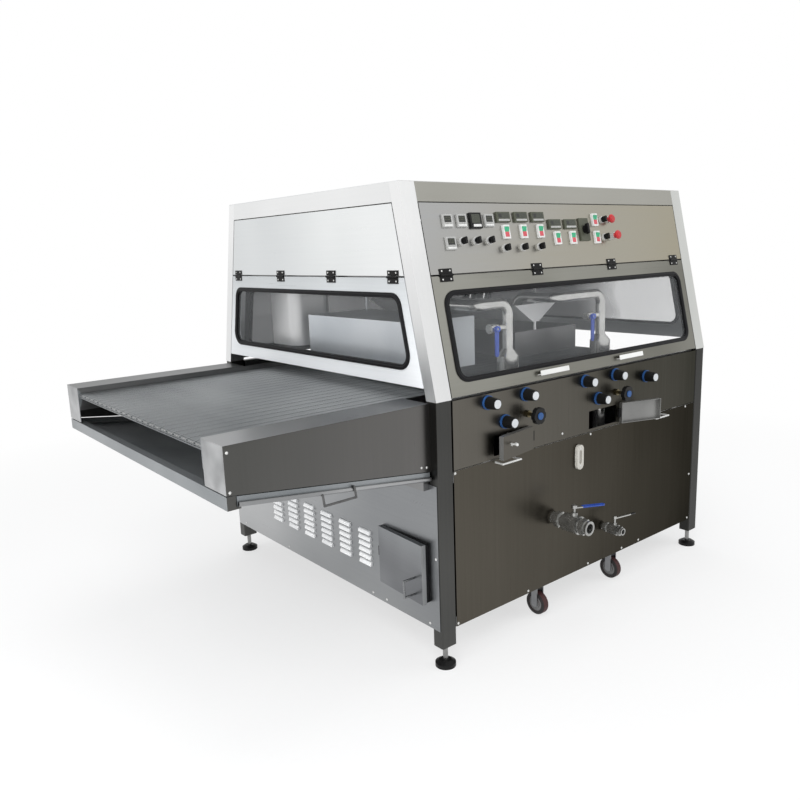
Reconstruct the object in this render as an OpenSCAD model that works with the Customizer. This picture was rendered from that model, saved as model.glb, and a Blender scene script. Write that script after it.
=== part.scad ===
// Chocolate enrober. A wire belt carries sweets through a stainless cabinet, under curtains of chocolate.
// The pieces are placed in the cabinet's frame: X along the belt from the infeed end, Y from the
// operator's front face to the rear, Z up from the floor. The origin then moves to the middle of the floor.

/* [Cabinet] */
// Length of the cabinet between its end faces
cab_l = 1794; // [1740:1:1900]
// Depth of the cabinet from front face to rear face
cab_d = 1626; // [1580:1:1700]
// Height of the roof above the floor
cab_h = 1805; // [1790:1:1860]
// Height of the waist, where the hood starts to lean in
waist_z = 1035; // [1032:1:1044]
// How far the hood leans in between waist and roof
hood_setback = 172; // [140:1:190]
// Distance of the window doors' hinge line below the roof
hinge_down = 334; // [315:1:345]
// Height of the header band under the roof
header_h = 72; // [55:1:85]
// Height of the lower edge of the cladding
skirt_z = 155; // [145:1:170]
// Height of the seam between the two front panels
seam_z = 770; // [766:1:775]
// Height of the upper edge of the louvred end panel
end_panel_z = 725; // [710:1:728]
// Height of the upper edge of the outfeed end panel
outfeed_z = 880; // [800:1:885]
// Thickness of the cladding sheet
sheet_t = 2; // [1.5:0.5:3]
// Gap round doors and panels
seam_gap = 4; // [2:0.5:6]

/* [Frame] */
// Width of a corner post along the cabinet
post_w = 74; // [66:1:80]
// Depth of a corner post
post_d = 53; // [48:1:60]
// Height of the lower end of the posts
post_z = 86; // [75:1:100]
// Rounding of the lower posts' edges
post_r = 6; // [2:1:10]
// Side of the square frame tube
tube = 40; // [30:1:42]
// Gap between members that meet at a weld
weld_gap = 0.3; // [0.2:0.1:0.5]
// Distance of the bed beams from the end faces
bed_in = 250; // [210:1:262]
// Thickness of the bed beams, also of the hanger beams
beam = 30; // [24:1:36]

/* [Feet and castors] */
// Diameter of a levelling foot
foot_d = 80; // [60:1:100]
// Height of a levelling foot's pad
foot_h = 25; // [15:1:35]
// Diameter of a foot's stem
foot_stem_d = 20; // [16:1:26]
// Distance of the first castors from the infeed end
castor_in = 606; // [560:1:680]
// Distance between the castors on one side
castor_pitch = 525; // [480:1:560]
// Distance of the castor axles behind the front and rear faces
castor_y = 57; // [50:1:70]
// Diameter of a castor wheel
wheel_d = 100; // [80:1:110]
// Width of a castor wheel
wheel_w = 32; // [26:1:38]
// Clearance under the castor wheels while the machine stands on its feet
wheel_lift = 3; // [2:0.5:8]
// Diameter of a castor axle
axle_d = 10; // [8:1:12]
// Thickness of the castor fork
fork_t = 4; // [3:0.5:5]

/* [Window doors] */
// Thickness of the folded door frames
door_t = 24; // [20:1:30]
// Sheet of the door frames
door_wall = 2; // [1.5:0.5:3]
// Height of the end door's lower edge above the waist
end_door_up = 44; // [40:1:60]
// Distance of the front gasket from the cabinet's end faces
win_in = 120; // [110:1:140]
// Distance of the front gasket above the door's lower edge
win_low = 46; // [40:1:60]
// Share of a door's height that its frame takes above the gasket
win_share = 0.1284; // [0.11:0.0004:0.15]
// Distance of the end gasket from the slanted edges of the hood
end_win_in = 98; // [90:1:110]
// Corner radius of the gaskets
win_r = 56; // [40:1:70]
// Width of the gasket's lip over the metal
lip_w = 7; // [5:0.5:9]
// Height of the gasket's lip
lip_h = 4; // [3:0.5:5]
// Width of the gasket inside the metal edge
gasket_in = 12; // [9:1:14]
// Thickness of the window panes
pane_t = 4; // [3:0.5:6]
// Length of a door hinge
hinge_w = 61; // [50:1:70]
// Length of one leaf of a door hinge, away from the pin
hinge_leaf = 24; // [20:1:28]
// Thickness of the hinge leaves
leaf_t = 3; // [2:0.5:3.5]
// Diameter of the hinge barrels
barrel_d = 9; // [8:0.5:10]
// Diameter of the hinge pins
pin_d = 4; // [3:0.5:5]
// Distance of the outermost front hinges from the end faces
hinge_in = 150; // [130:1:180]
// Distance between the hinges of the end door
end_hinge_pitch = 398; // [360:1:405]
// Length of a flat grip
grip_w = 175; // [150:1:200]
// Reach of a flat grip
grip_out = 18; // [14:1:24]
// Distance of the grips from the middle of the door
grip_x = 262; // [220:1:320]

/* [Hatches] */
// Width of a front hatch
hatch_w = 208; // [198:1:214]
// Height of a front hatch
hatch_h = 92; // [86:1:96]
// Thickness of every hatch
hatch_t = 20; // [16:1:22]
// Sheet of the hatches
hatch_wall = 2; // [1.5:0.5:3]
// How far a hatch covers the panel round its opening
hatch_lap = 7; // [5:1:9]
// Distance of the first hatch's hinge pin from the infeed end
hatch_x = 494; // [488:1:500]
// Distance between the two front groups of hatch and valves
group_pitch = 584; // [570:1:598]
// How far the first front hatch stands open
hatch_open_1 = 9; // [5:1:20]
// How far the second front hatch stands open
hatch_open_2 = 161; // [140:1:161]
// Width of the end hatch
end_hatch_w = 280; // [260:1:300]
// Height of the end hatch
end_hatch_h = 237; // [210:1:250]
// Distance of the end hatch's hinge pin behind the front face
end_hatch_y = 350; // [345:1:365]
// Height of the end hatch's lower edge
end_hatch_z = 255; // [240:1:265]
// How far the end hatch stands open
end_hatch_open = 3; // [2:0.5:15]
// Length of a hatch hinge
hatch_hinge_w = 40; // [34:1:50]
// Distance of a hatch's edge from its pin
hinge_off = 6; // [5.5:0.5:8]
// Diameter of the wire of the bow handles
bow_d = 8; // [6:0.5:9]
// Span of the lower front panel's bow handles
bow_span = 100; // [90:1:110]
// Reach of those bow handles
bow_out = 40; // [34:1:44]
// Distance of the first bow handle from the infeed end
bow_x = 345; // [320:1:370]
// Distance between the two bow handles
bow_pitch = 1030; // [1000:1:1060]
// Distance of those bow handles below the panel seam
bow_down = 12; // [10:1:20]
// Span of the end hatch's bow handle
end_bow_span = 66; // [60:1:80]
// Reach of the end hatch's bow handle
end_bow_out = 48; // [40:1:56]
// Height of that handle's middle above the hatch's lower edge
end_bow_up = 62; // [50:1:75]
// Length of a hatch's latch knob
latch_out = 28; // [22:1:32]

/* [Louvres] */
// Columns of louvres
louvre_cols = 6; // [4:1:6]
// Rows of louvres
louvre_rows = 6; // [4:1:7]
// Length of a louvre
louvre_w = 77; // [60:1:90]
// Distance between the columns
louvre_pitch = 143; // [130:1:150]
// Distance between the rows
louvre_rise = 27; // [24:1:30]
// Distance of the first column behind the front face
louvre_y = 461; // [450:1:470]
// Height of the lowest louvre
louvre_z = 288; // [270:1:310]
// Reach of a pressed louvre
louvre_out = 9; // [7:0.5:11]

/* [Control panel] */
// Distance of the first instrument from the infeed end
ctl_x = 198; // [180:1:204]
// Distance between neighbouring controllers
ctl_pitch = 72; // [70:1:74]
// Height of the upper row above the hinge line, along the slope
ctl_up = 197; // [190:1:202]
// Height of the lower row above the hinge line, along the slope
low_up = 114; // [108:1:120]
// Side of a controller's bezel
ctl_w = 48; // [44:1:52]
// Side of the recorder's bezel
rec_w = 60; // [54:1:64]
// Thickness of the bezels
bezel_t = 8; // [6:1:10]
// Depth of the instrument bodies behind the panel
body_in = 60; // [40:1:70]
// Distance of the first speed display from the infeed end
drive_x = 494; // [488:1:500]
// Distance between neighbouring drives on the panel
drive_pitch = 101; // [98:1:103]
// Width of a speed display
disp_w = 76; // [70:1:80]
// Height of a speed display
disp_h = 40; // [36:1:44]
// Height of the first displays above the hinge line
disp_up = 210; // [204:1:212]
// How much lower the last two drives sit
drive_drop = 30; // [22:1:32]
// Distance of a switch below its display
switch_down = 58; // [54:1:62]
// Distance of a selector below its switch
selector_down = 63; // [58:1:68]
// Width of a switch base
switch_w = 36; // [32:1:40]
// Height of a switch base
switch_h = 54; // [50:1:56]
// Thickness of a switch base
switch_t = 10; // [8:1:12]
// Width of a rocker
rocker_w = 22; // [18:1:26]
// Height of a rocker
rocker_h = 38; // [34:1:42]
// Tilt of a rocker either side of level
rocker_tilt = 7; // [5:0.5:8]
// Clearance beside a rocker
rocker_gap = 0.3; // [0.3:0.1:0.6]
// Diameter of the collars round selectors and mushroom buttons
collar_d = 30; // [28:1:34]
// Height of a collar
collar_h = 9; // [7:1:12]
// Height of the second mushroom button's longer collar
long_collar_h = 28; // [20:1:32]
// Diameter of a selector's shank
shank_d = 22; // [18:1:24]
// Height of a selector's grip
selector_h = 20; // [16:1:24]
// Running clearance on radius between a spindle and its bore
run_gap = 0.05; // [0.03:0.01:0.08]
// Distance of the main switch from the infeed end
main_x = 989; // [980:1:1000]
// Width of the main switch plate
main_w = 63; // [56:1:70]
// Height of the main switch plate
main_h = 97; // [90:1:104]
// Thickness of the main switch plate
main_t = 7; // [6:1:9]
// Distance of the last switches from the infeed end
stop_x = 1069; // [1060:1:1075]
// Distance from those switches to their selectors
stop_selector = 54; // [48:1:58]
// Distance from those selectors to the mushroom buttons
stop_button = 46; // [42:1:54]
// Diameter of a mushroom button
mushroom_d = 38; // [34:1:40]
// Travel of a mushroom button
mushroom_travel = 5; // [4:0.5:6]

/* [Front valves] */
// Distance of the knobs' upper row below the waist
knob_row_1 = 37; // [36:1:42]
// Distance of the knobs' lower row below the waist
knob_row_2 = 125; // [120:1:128]
// Distance of the first upper knob from the infeed end
knob_x_1 = 255; // [245:1:265]
// Distance from the first to the second upper knob
knob_x_2 = 211; // [205:1:216]
// Distance from the first upper knob to the lower knob
knob_x_3 = 93; // [88:1:98]
// Distance of the single knob from the infeed end
knob_x_4 = 1287; // [1270:1:1300]
// Distance of the single knob below the waist
knob_row_4 = 76; // [70:1:90]
// Diameter of a knob's skirt
knob_d = 55; // [50:1:60]
// Diameter of a knob's tip
knob_tip_d = 41; // [38:1:45]
// Length of a knob
knob_h = 54; // [48:1:60]
// Height of a knob's skirt
skirt_h = 8; // [6:1:10]
// Diameter of a knob's cap
cap_d = 33; // [28:1:36]
// Diameter of the valve spindles
spindle_d = 10; // [8:1:12]
// Length of the spindles behind the panel
spindle_in = 12; // [8:1:14]
// Distance of the handwheels from the first knob of their group
wheel_x = 223; // [220:1:228]
// Distance of the handwheels below the waist
wheel_row = 117; // [115:1:122]
// Diameter of a handwheel
hand_d = 67; // [62:1:74]
// Reach of a handwheel
hand_out = 66; // [60:1:72]
// Thickness of a handwheel
hand_t = 18; // [14:1:22]
// Diameter of a handwheel's stem
hand_stem_d = 14; // [12:1:18]

/* [Drain fittings] */
// Distance of the drain valve from the infeed end
drain_x = 640; // [620:1:660]
// Height of the drain valve
drain_z = 446; // [430:1:460]
// Reach of the drain valve
drain_out = 185; // [175:1:200]
// Outside diameter of the drain pipe
drain_d = 50; // [44:1:56]
// Diameter of the drain valve's body
drain_body_d = 76; // [68:1:82]
// Length of the drain valve's lever
drain_lever = 132; // [115:1:150]
// Angle of the drain lever, from the cabinet's length towards the operator
drain_lever_a = 28; // [20:1:40]
// Distance of the sampling valve from the infeed end
sample_x = 985; // [970:1:1000]
// Height of the sampling valve
sample_z = 315; // [312:1:330]
// Reach of the sampling valve
sample_out = 107; // [98:1:118]
// Outside diameter of the sampling pipe
sample_d = 27; // [22:1:30]
// Diameter of the sampling valve's body
sample_body_d = 48; // [42:1:52]
// Length of the sampling valve's lever
sample_lever = 122; // [105:1:135]
// Angle of the sampling lever, from the cabinet's length towards the operator
sample_lever_a = 11; // [5:1:20]
// Height of a valve's stem above its gland
stem_rise = 32; // [26:1:36]
// Thickness of the valve levers
lever_t = 5; // [4:0.5:6]
// Width of the valve levers
lever_w = 20; // [16:1:24]
// Distance of the level gauge from the infeed end
gauge_x = 801; // [785:1:815]
// Distance of the level gauge's middle below the panel seam
gauge_down = 94; // [88:1:110]
// Width of the level gauge
gauge_w = 42; // [36:1:48]
// Height of the level gauge
gauge_h = 108; // [100:1:116]
// Thickness of the level gauge
gauge_t = 13; // [10:1:16]

/* [Conveyor] */
// Length of the infeed conveyor beyond the cabinet
conv_l = 796; // [760:1:860]
// Distance of the conveyor's sides inside the cabinet's front and rear faces
conv_in = 40; // [36:1:44]
// Width of a top flange
flange_w = 150; // [144:1:160]
// Height of the belt's upper face
belt_z = 1005; // [1002:1:1006]
// Height of the top flanges above the belt
flange_up = 23; // [20:1:24]
// Height of the side plates at the free end
side_h_1 = 152; // [140:1:160]
// Height of the side plates at the cabinet
side_h_2 = 251; // [240:1:256]
// Sheet of the side boxes
conv_t = 3; // [2:0.5:4]
// Thickness of the bed plates that carry the rollers
bed_t = 4; // [3:0.5:6]
// Thickness of the wire belt
belt_t = 4; // [3:0.5:5]
// Clearance between the belt's edge and the bed plates
belt_side = 6; // [4:1:10]
// Diameter of the nose roller
nose_d = 16; // [14:1:20]
// Diameter of the nose roller's journals
nose_journal_d = 12; // [10:1:13]
// Distance of the nose roller from the conveyor's free end
nose_in = 16; // [15:1:24]
// Diameter of the drive sprockets
drive_d = 100; // [90:1:104]
// Distance of the drive shaft from the outfeed end face
drive_in = 144; // [130:1:170]
// Diameter of the drive shaft
drive_shaft_d = 40; // [34:1:46]
// Number of drive sprockets
sprockets = 9; // [5:1:11]
// Diameter of the drive shaft's journals
journal_d = 25; // [20:1:26]
// Rows of openings along each run of the belt
belt_rows = 16; // [10:1:20]
// Openings across the belt
belt_cols = 11; // [8:1:12]
// Width of the wire bundles between the belt's openings
belt_web = 12; // [8:1:18]
// Depth of the bed plates below the belt
bed_deep = 75; // [65:1:80]
// Clearance between the belt and the rollers
belt_gap = 0.4; // [0.3:0.1:0.6]
// Height of the end rail across the free end
end_rail_h = 43; // [36:1:44]
// Height of the drip tray's walls
tray_h = 32; // [26:1:36]
// Sheet of the drip tray
tray_t = 2; // [1.5:0.5:3]
// Gap between the drip tray and the side plates
tray_gap = 3; // [2:0.5:5]
// Distance of the tray's pull from the cabinet
pull_x = 409; // [360:1:460]
// Span of the tray's pull
pull_span = 125; // [110:1:140]
// Reach of the tray's pull, outwards
pull_out = 20; // [16:1:28]
// How far the tray's pull hangs down
pull_drop = 34; // [28:1:40]

/* [Chocolate circuit] */
// Distance of the tank from the cabinet's end faces
tank_in = 200; // [150:1:240]
// Distance of the tank from the front and rear faces
tank_y = 70; // [60:1:80]
// Height of the tank's underside
tank_z = 240; // [230:1:250]
// Height of the tank's rim
tank_top = 700; // [660:1:715]
// Wall of the tank
tank_wall = 4; // [3:0.5:6]
// Rounding of the tank's lower edges
tank_r = 50; // [40:1:55]
// Distance of the first riser from the infeed end
riser_x = 506; // [500:1:520]
// Distance between the risers
riser_pitch = 609; // [590:1:620]
// Distance of the risers behind the front face
riser_y = 128; // [122:1:132]
// Diameter of the pump columns' feet
pump_foot_d = 14; // [10:1:15]
// Diameter of the pump columns
pump_d = 60; // [50:1:66]
// Diameter of the risers' bases
riser_base_d = 90; // [80:1:96]
// Height of the top of the risers' bases
riser_base_z = 1165; // [1140:1:1190]
// Diameter of the riser pipes
riser_d = 43; // [38:1:46]
// Height of the level run of the riser pipes
riser_z = 1345; // [1335:1:1360]
// Bend radius of the riser pipes
bend_r = 48; // [44:1:54]
// Height of the valves on the risers
riser_valve_z = 1250; // [1235:1:1260]
// Distance of those valves from the riser
riser_valve_x = 86; // [80:1:95]
// Length of the levers on those valves
riser_lever = 110; // [95:1:115]
// Height of the lowest edge of the coating head
coat_z = 1085; // [1082:1:1100]
// Length of the first coating box along the belt
box_l = 350; // [300:1:360]
// Distance of the first coating box from the infeed end
box_x = 130; // [110:1:150]
// Height of the first coating box
box_h = 205; // [180:1:215]
// Distance of the coating pieces behind the front face
coat_y = 290; // [270:1:310]
// Width of the first coating box across the belt
box_w = 720; // [650:1:740]
// Distance of the trough's middle from the infeed end
trough_x = 866; // [850:1:900]
// Width of the trough's mouth
trough_w = 278; // [250:1:300]
// Depth of the trough
trough_h = 80; // [65:1:95]
// Height of the trough's mouth
trough_z = 1312; // [1300:1:1315]
// Sheet of the coating pieces
coat_t = 3; // [2:0.5:4]
// Length along the belt of the curtain box under the trough
curtain_l = 420; // [380:1:430]
// Height of the curtain box under the trough
curtain_h = 110; // [90:1:130]
// Side of the air column along the belt
column_l = 220; // [180:1:240]
// Side of the air column across the belt
column_w = 260; // [220:1:280]
// Distance of the air column from the rear face
column_y = 236; // [225:1:260]
// Height of the air column's lower end
column_z = 1134; // [1110:1:1160]
// Rounding of the air column
column_r = 60; // [30:5:80]
// Diameter of the hanger rods
rod_d = 12; // [10:1:16]
// Distance of the first hanger beam from the outfeed edge of the first coating box
hang_in = 60; // [45:1:65]
// Distance of the risers' mouths behind the coating pieces' front walls
mouth_in = 60; // [50:1:75]
// Distance of the second riser's mouth from the trough's middle
pour_off = 60; // [45:1:75]

/* [Hidden] */
$fn = 48;

hood_a = atan(hood_setback / (cab_h - waist_z));
roof_z = cab_h - sheet_t;
header_z = cab_h - header_h;
hinge_z = cab_h - hinge_down;
hinge_v = (hinge_z - waist_z) / cos(hood_a);
door_v = 6;
frame_back = door_t + 1;
rail_lap = 15;
end_door_z = waist_z + end_door_up;
end_lap_y = 10;
fold = tube / 2 - 2;
mid_low_z = seam_z + 1.5;
mid_top_z = waist_z - 5;
win_b = cab_l - 2 * win_in;
win_top = win_share * (hinge_z - waist_z);
win_h = hinge_v - win_top - door_v - win_low;
hatch_z = seam_z + 6;
rocker_up = switch_t * 0.6;
rocker_pin = 3;
stem_at = 0.58;
pin_out = hatch_t / 2 + 0.5;
end_win_z = end_door_z + win_top;
end_win_h = hinge_z - win_top - end_win_z;
end_win_b = cab_d - 2 * (slope_y(end_win_z) + end_win_in);
flange_z = belt_z + flange_up;
bed_y = conv_in + flange_w - bed_t;
belt_w = cab_d - 2 * (bed_y + bed_t + belt_side);
nose_x = nose_in - conv_l;
nose_z = belt_z - belt_t - belt_gap - nose_d / 2;
drive_shaft_x = cab_l - drive_in;
drive_z = belt_z - belt_t - belt_gap - drive_d / 2;
tray_x_1 = 33 - conv_l;
tray_x_2 = -4;
beam_z = seam_z - 5;
hanger_x = [box_x + box_l - hang_in, trough_x];
wheel_z = wheel_d / 2 + wheel_lift;
riser_xs = [riser_x, riser_x + riser_pitch];
group_xs = [0, group_pitch];
knob_places = concat(
    [for (g = group_xs, k = [[0, knob_row_1], [knob_x_2, knob_row_1], [knob_x_3, knob_row_2]])
        [knob_x_1 + g + k[0], waist_z - k[1]]],
    [[knob_x_4, waist_z - knob_row_4]]);
drive_ups = [for (i = [0 : 4]) i < 3 ? 0 : -drive_drop];
display_places = [for (i = [0 : 4]) [drive_x + i * drive_pitch, hinge_v + disp_up + drive_ups[i]]];
stop_ups = [ctl_up, low_up + 7];
rocker_places = concat(
    [for (p = display_places) p - [-5, switch_down]],
    [for (u = stop_ups) [stop_x, hinge_v + u]]);
selector_places = concat(
    [for (i = [0 : 2]) [ctl_x + (i + 0.8) * ctl_pitch, hinge_v + low_up + 6]],
    [for (i = [0 : 2]) rocker_places[i] - [18, selector_down]],
    [for (u = stop_ups) [stop_x + stop_selector, hinge_v + u]]);
button_places = [for (u = stop_ups) [stop_x + stop_selector + stop_button, hinge_v + u]];
collar_hs = [collar_h, long_collar_h];
controller_places = concat(
    [for (i = [0, 1, 3]) [ctl_x + i * ctl_pitch, hinge_v + ctl_up]],
    [[ctl_x, hinge_v + low_up]]);

// How far the hood's face has leaned in at a height
function slope_y(z) = hood_setback * (z - waist_z) / (cab_h - waist_z);
// Lower edge of the conveyor's side plates along X
function plate_z(x) = flange_z - side_h_2 + (side_h_2 - side_h_1) * -x / conv_l;

// Moves everything from the cabinet's frame to the middle of the floor under the machine
module placed() {
    translate([(conv_l - cab_l - lip_h) / 2, (drain_out - cab_d - (foot_d - post_d) / 2) / 2, 0])
        children();
}

// Local X along the cabinet, local Y up, local Z out of the front face
module on_front() {
    rotate([90, 0, 0])
        children();
}

// Local X along the cabinet, local Y up the hood's slope from the waist, local Z out of the slope
module on_slope() {
    translate([0, 0, waist_z])
        rotate([90 - hood_a, 0, 0])
            children();
}

// Local X towards the rear, local Y up, local Z out of the infeed end face
module on_end() {
    rotate([90, 0, 90])
        mirror([0, 0, 1])
            children();
}

module at_rear() {
    translate([0, cab_d, 0])
        mirror([0, 1, 0])
            children();
}

module at_outfeed() {
    translate([cab_l, 0, 0])
        mirror([1, 0, 0])
            children();
}

module front_and_rear() {
    children();
    at_rear()
        children();
}

module both_ends() {
    children();
    at_outfeed()
        children();
}

module block(p, size) {
    translate(p)
        cube(size);
}

// Cylinders from a point along X, along Y and up
module along_x(p, h, d) {
    translate(p)
        rotate([0, 90, 0])
            cylinder(h = h, d = d);
}

module along_y(p, h, d) {
    translate(p)
        rotate([-90, 0, 0])
            cylinder(h = h, d = d);
}

module upright(p, h, d) {
    translate(p)
        cylinder(h = h, d = d);
}

// Round bar between two points
module rod(a, b, d) {
    v = b - a;
    translate(a)
        rotate([0, acos(v[2] / norm(v)), atan2(v[1], v[0])])
            cylinder(h = norm(v), d = d);
}

// Bent wire through a list of points, with a slightly fuller round at each bend
module wire(points, d) {
    for (i = [1 : len(points) - 1])
        rod(points[i - 1], points[i], d);
    for (i = [1 : len(points) - 2])
        translate(points[i])
            sphere(d = d + 0.4);
}

module rounded_rect(w, h, r) {
    translate([r, 0])
        square([w - 2 * r, h]);
    translate([0, r])
        square([w, h - 2 * r]);
    for (x = [r, w - r], y = [r, h - r])
        translate([x, y])
            circle(r);
}

// Long hole or bar with round ends, centred
module slot_shape(l, w) {
    square([l - w, w], center = true);
    for (s = [-1, 1])
        translate([s * (l - w) / 2, 0])
            circle(d = w);
}

// Bar that follows the hood's lean, between two heights and two depths behind its face
module slope_bar(z1, z2, y1, y2, x1, x2) {
    translate([x1, 0, 0])
        rotate([90, 0, 90]) linear_extrude(x2 - x1)
                polygon([[slope_y(z1) + y1, z1], [slope_y(z1) + y2, z1],
                         [slope_y(z2) + y2, z2], [slope_y(z2) + y1, z2]]);
}

// Outline between the slanted edges of the hood's end, at an inset from them
module end_shape(z1, z2, inset) {
    polygon([[slope_y(z1) + inset, z1], [cab_d - slope_y(z1) - inset, z1],
             [cab_d - slope_y(z2) - inset, z2], [slope_y(z2) + inset, z2]]);
}

module end_plate(z1, z2, inset, x, t) {
    translate([x, 0, 0])
        rotate([90, 0, 90]) linear_extrude(t)
                end_shape(z1, z2, inset);
}

// Window outline with its lower edge centred on the origin; the sides lean in, and d shrinks it all round
module window_shape(b, h, lean, r, d) {
    low = [b / 2 - r * (1 + sin(lean)) / cos(lean), r];
    top = [b / 2 - ((h - r) * sin(lean) + r) / cos(lean), h - r];
    right = concat(corner_arc(low, r - d, -90, lean), corner_arc(top, r - d, lean, 90));
    left = [for (i = [len(right) - 1 : -1 : 0]) [-right[i][0], right[i][1]]];
    polygon(concat(right, left));
}

// Points round a corner from one angle to another
function corner_arc(c, r, a1, a2) =
    [for (i = [0 : 10]) let (a = a1 + (a2 - a1) * i / 10) c + r * [cos(a), sin(a)]];

module window_ring(b, h, lean, out, in, z1, z2) {
    translate([0, 0, z1])
        linear_extrude(z2 - z1)
            difference() {
                window_shape(b, h, lean, win_r, out);
                window_shape(b, h, lean, win_r, in);
            }
}

// Rubber profile that grips the metal edge in front and the pane behind it, and the clear pane
module glazing(b, h, lean) {
    web = 5;
    edge = lip_w + weld_gap;
    inner = lip_w + gasket_in;
    back = -web - pane_t - 2 * weld_gap;
    window_ring(b, h, lean, 0, inner, 0, lip_h);
    window_ring(b, h, lean, edge, inner, -web, 0);
    window_ring(b, h, lean, edge, edge + 2, back, -web);
    window_ring(b, h, lean, edge, inner, back - web, back);
    translate([0, 0, -web - weld_gap - pane_t])
        linear_extrude(pane_t)
            window_shape(b, h, lean, win_r, edge + 2 + weld_gap);
}

// Leaf hinge with its pin along X at the origin's height; the fixed leaf is above, the moving one below
module hinge_fixed(w, leaf, t, d, axis_out) {
    clear = d / 2 + 0.5;
    block([-w / 2, clear, 0], [w, leaf - clear, t]);
    along_x([-w / 6, 0, axis_out], w / 3, d);
    block([-w / 6, 0, 0], [w / 3, clear + 1, t]);
    along_x([-w / 2, 0, axis_out], w, pin_d);
}

module hinge_moving(w, leaf, t, d, axis_out) {
    clear = d / 2 + 0.5;
    difference() {
        union() {
            block([-w / 2, -leaf, 0], [w, leaf - clear, t]);
            for (x = [-w / 2, w / 6 + weld_gap]) {
                along_x([x, 0, axis_out], w / 3 - weld_gap, d);
                block([x, -clear - 1, 0], [w / 3 - weld_gap, clear + 1, t]);
            }
        }
        along_x([-w, 0, axis_out], 2 * w, pin_d + 2 * run_gap);
    }
}

module front_hinge_places() {
    for (i = [0 : 3])
        translate([hinge_in + i * (cab_l - 2 * hinge_in) / 3, hinge_v, 0])
            children();
}

module end_hinge_places() {
    for (i = [-1.5 : 1.5])
        translate([cab_d / 2 + i * end_hinge_pitch, hinge_z, 0])
            children();
}

module bow(span, out, d) {
    wire([[-span / 2, 0, -0.5], [-span / 2, 0, out], [span / 2, 0, out], [span / 2, 0, -0.5]], d);
}

// Welded skeleton of posts, rails and beams
module main_frame() {
    x1 = post_w + weld_gap;
    x2 = cab_l - x1;
    y1 = post_d + weld_gap;
    back_1 = frame_back / cos(hood_a);
    back_2 = (frame_back + tube) / cos(hood_a);
    color("silver") placed() {
        both_ends() front_and_rear() {
            translate([sheet_t, 0, post_z])
                linear_extrude(waist_z - weld_gap - post_z)
                    rounded_rect(post_w - sheet_t, post_d, post_r);
            slope_bar(waist_z, roof_z, 0, post_d, 0, post_w);
        }
        front_and_rear() {
            for (z = [skirt_z, beam_z - tube])
                block([x1, sheet_t, z], [x2 - x1, tube, tube]);
            block([x1, tube / 2, waist_z - 2 - tube], [x2 - x1, tube, tube]);
            slope_bar(header_z, roof_z, 0, tube, x1, x2);
            slope_bar(hinge_z - rail_lap, hinge_z + tube - rail_lap, back_1, back_2, x1, x2);
        }
        both_ends() {
            block([sheet_t, y1, skirt_z], [tube, cab_d - 2 * y1, tube]);
            end_plate(header_z, roof_z, y1, 0, tube);
            end_plate(hinge_z - rail_lap, hinge_z + tube - rail_lap, y1, frame_back, tube);
            translate([bed_in - tube / 2, sheet_t + weld_gap, beam_z + weld_gap])
                cube([tube, cab_d - 2 * (sheet_t + weld_gap), beam]);
            translate([2 * tank_in, sheet_t + tube + weld_gap, skirt_z])
                cube([tube, cab_d - 2 * (sheet_t + tube + weld_gap), tube]);
        }
        block([sheet_t, y1, end_panel_z - tube], [tube, cab_d - 2 * y1, tube]);
        at_outfeed()
            block([sheet_t, y1, outfeed_z - tube], [tube, cab_d - 2 * y1, tube]);
        for (x = hanger_x)
            translate([x - beam / 2, slope_y(hinge_z + tube - rail_lap) + back_2 + weld_gap, hinge_z])
                cube([beam, cab_d - 2 * (slope_y(hinge_z + tube - rail_lap) + back_2 + weld_gap),
                      tube - rail_lap]);
    }
}

// Folded return along an upper sheet's edge, back to the hinge rail
module slope_return(v) {
    translate([post_w + seam_gap, v, weld_gap - frame_back])
        cube([cab_l - 2 * (post_w + seam_gap), sheet_t, frame_back - weld_gap]);
}

module end_return(z) {
    end_plate(z, z + sheet_t, post_d + seam_gap, 0, frame_back - weld_gap);
}

// Roof, upper sheets, and the plain sheets of the rear and outfeed sides
module sheet_panels() {
    x1 = post_w + seam_gap;
    w = cab_l - 2 * x1;
    y1 = post_d + seam_gap;
    color("gainsboro") placed() {
        translate([0, hood_setback, roof_z + weld_gap / 2])
            cube([cab_l, cab_d - 2 * hood_setback, sheet_t - weld_gap / 2]);
        both_ends() {
            end_plate(hinge_z + seam_gap, header_z - seam_gap, y1, 0, sheet_t);
            end_return(hinge_z + seam_gap);
        }
        at_outfeed() {
            end_return(hinge_z - seam_gap / 2 - sheet_t);
            difference() {
                end_plate(end_door_z, hinge_z - seam_gap / 2, y1, 0, sheet_t);
                on_end()
                    translate([cab_d / 2, end_win_z, -2 * sheet_t])
                        linear_extrude(3 * sheet_t)
                            window_shape(end_win_b, end_win_h, hood_a, win_r, lip_w);
            }
            block([0, end_lap_y, skirt_z], [sheet_t, cab_d - 2 * end_lap_y, outfeed_z - skirt_z]);
        }
        at_rear() {
            on_slope() {
                slope_return(hinge_v + seam_gap);
                slope_return(hinge_v - seam_gap / 2 - sheet_t);
                translate([x1, hinge_v + seam_gap, -sheet_t])
                    cube([w, (header_z - waist_z) / cos(hood_a) - hinge_v - 2 * seam_gap, sheet_t]);
                difference() {
                    block([x1, door_v, -sheet_t], [w, hinge_v - door_v - seam_gap / 2, sheet_t]);
                    translate([cab_l / 2, door_v + win_low, -2 * sheet_t])
                        linear_extrude(3 * sheet_t)
                            window_shape(win_b, win_h, 0, win_r, lip_w);
                }
            }
            on_front() {
                block([x1, skirt_z, -sheet_t], [w, seam_z - 1.5 - skirt_z, sheet_t]);
                block([x1, mid_low_z, -sheet_t], [w, mid_top_z - mid_low_z, sheet_t]);
            }
        }
    }
}

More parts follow.
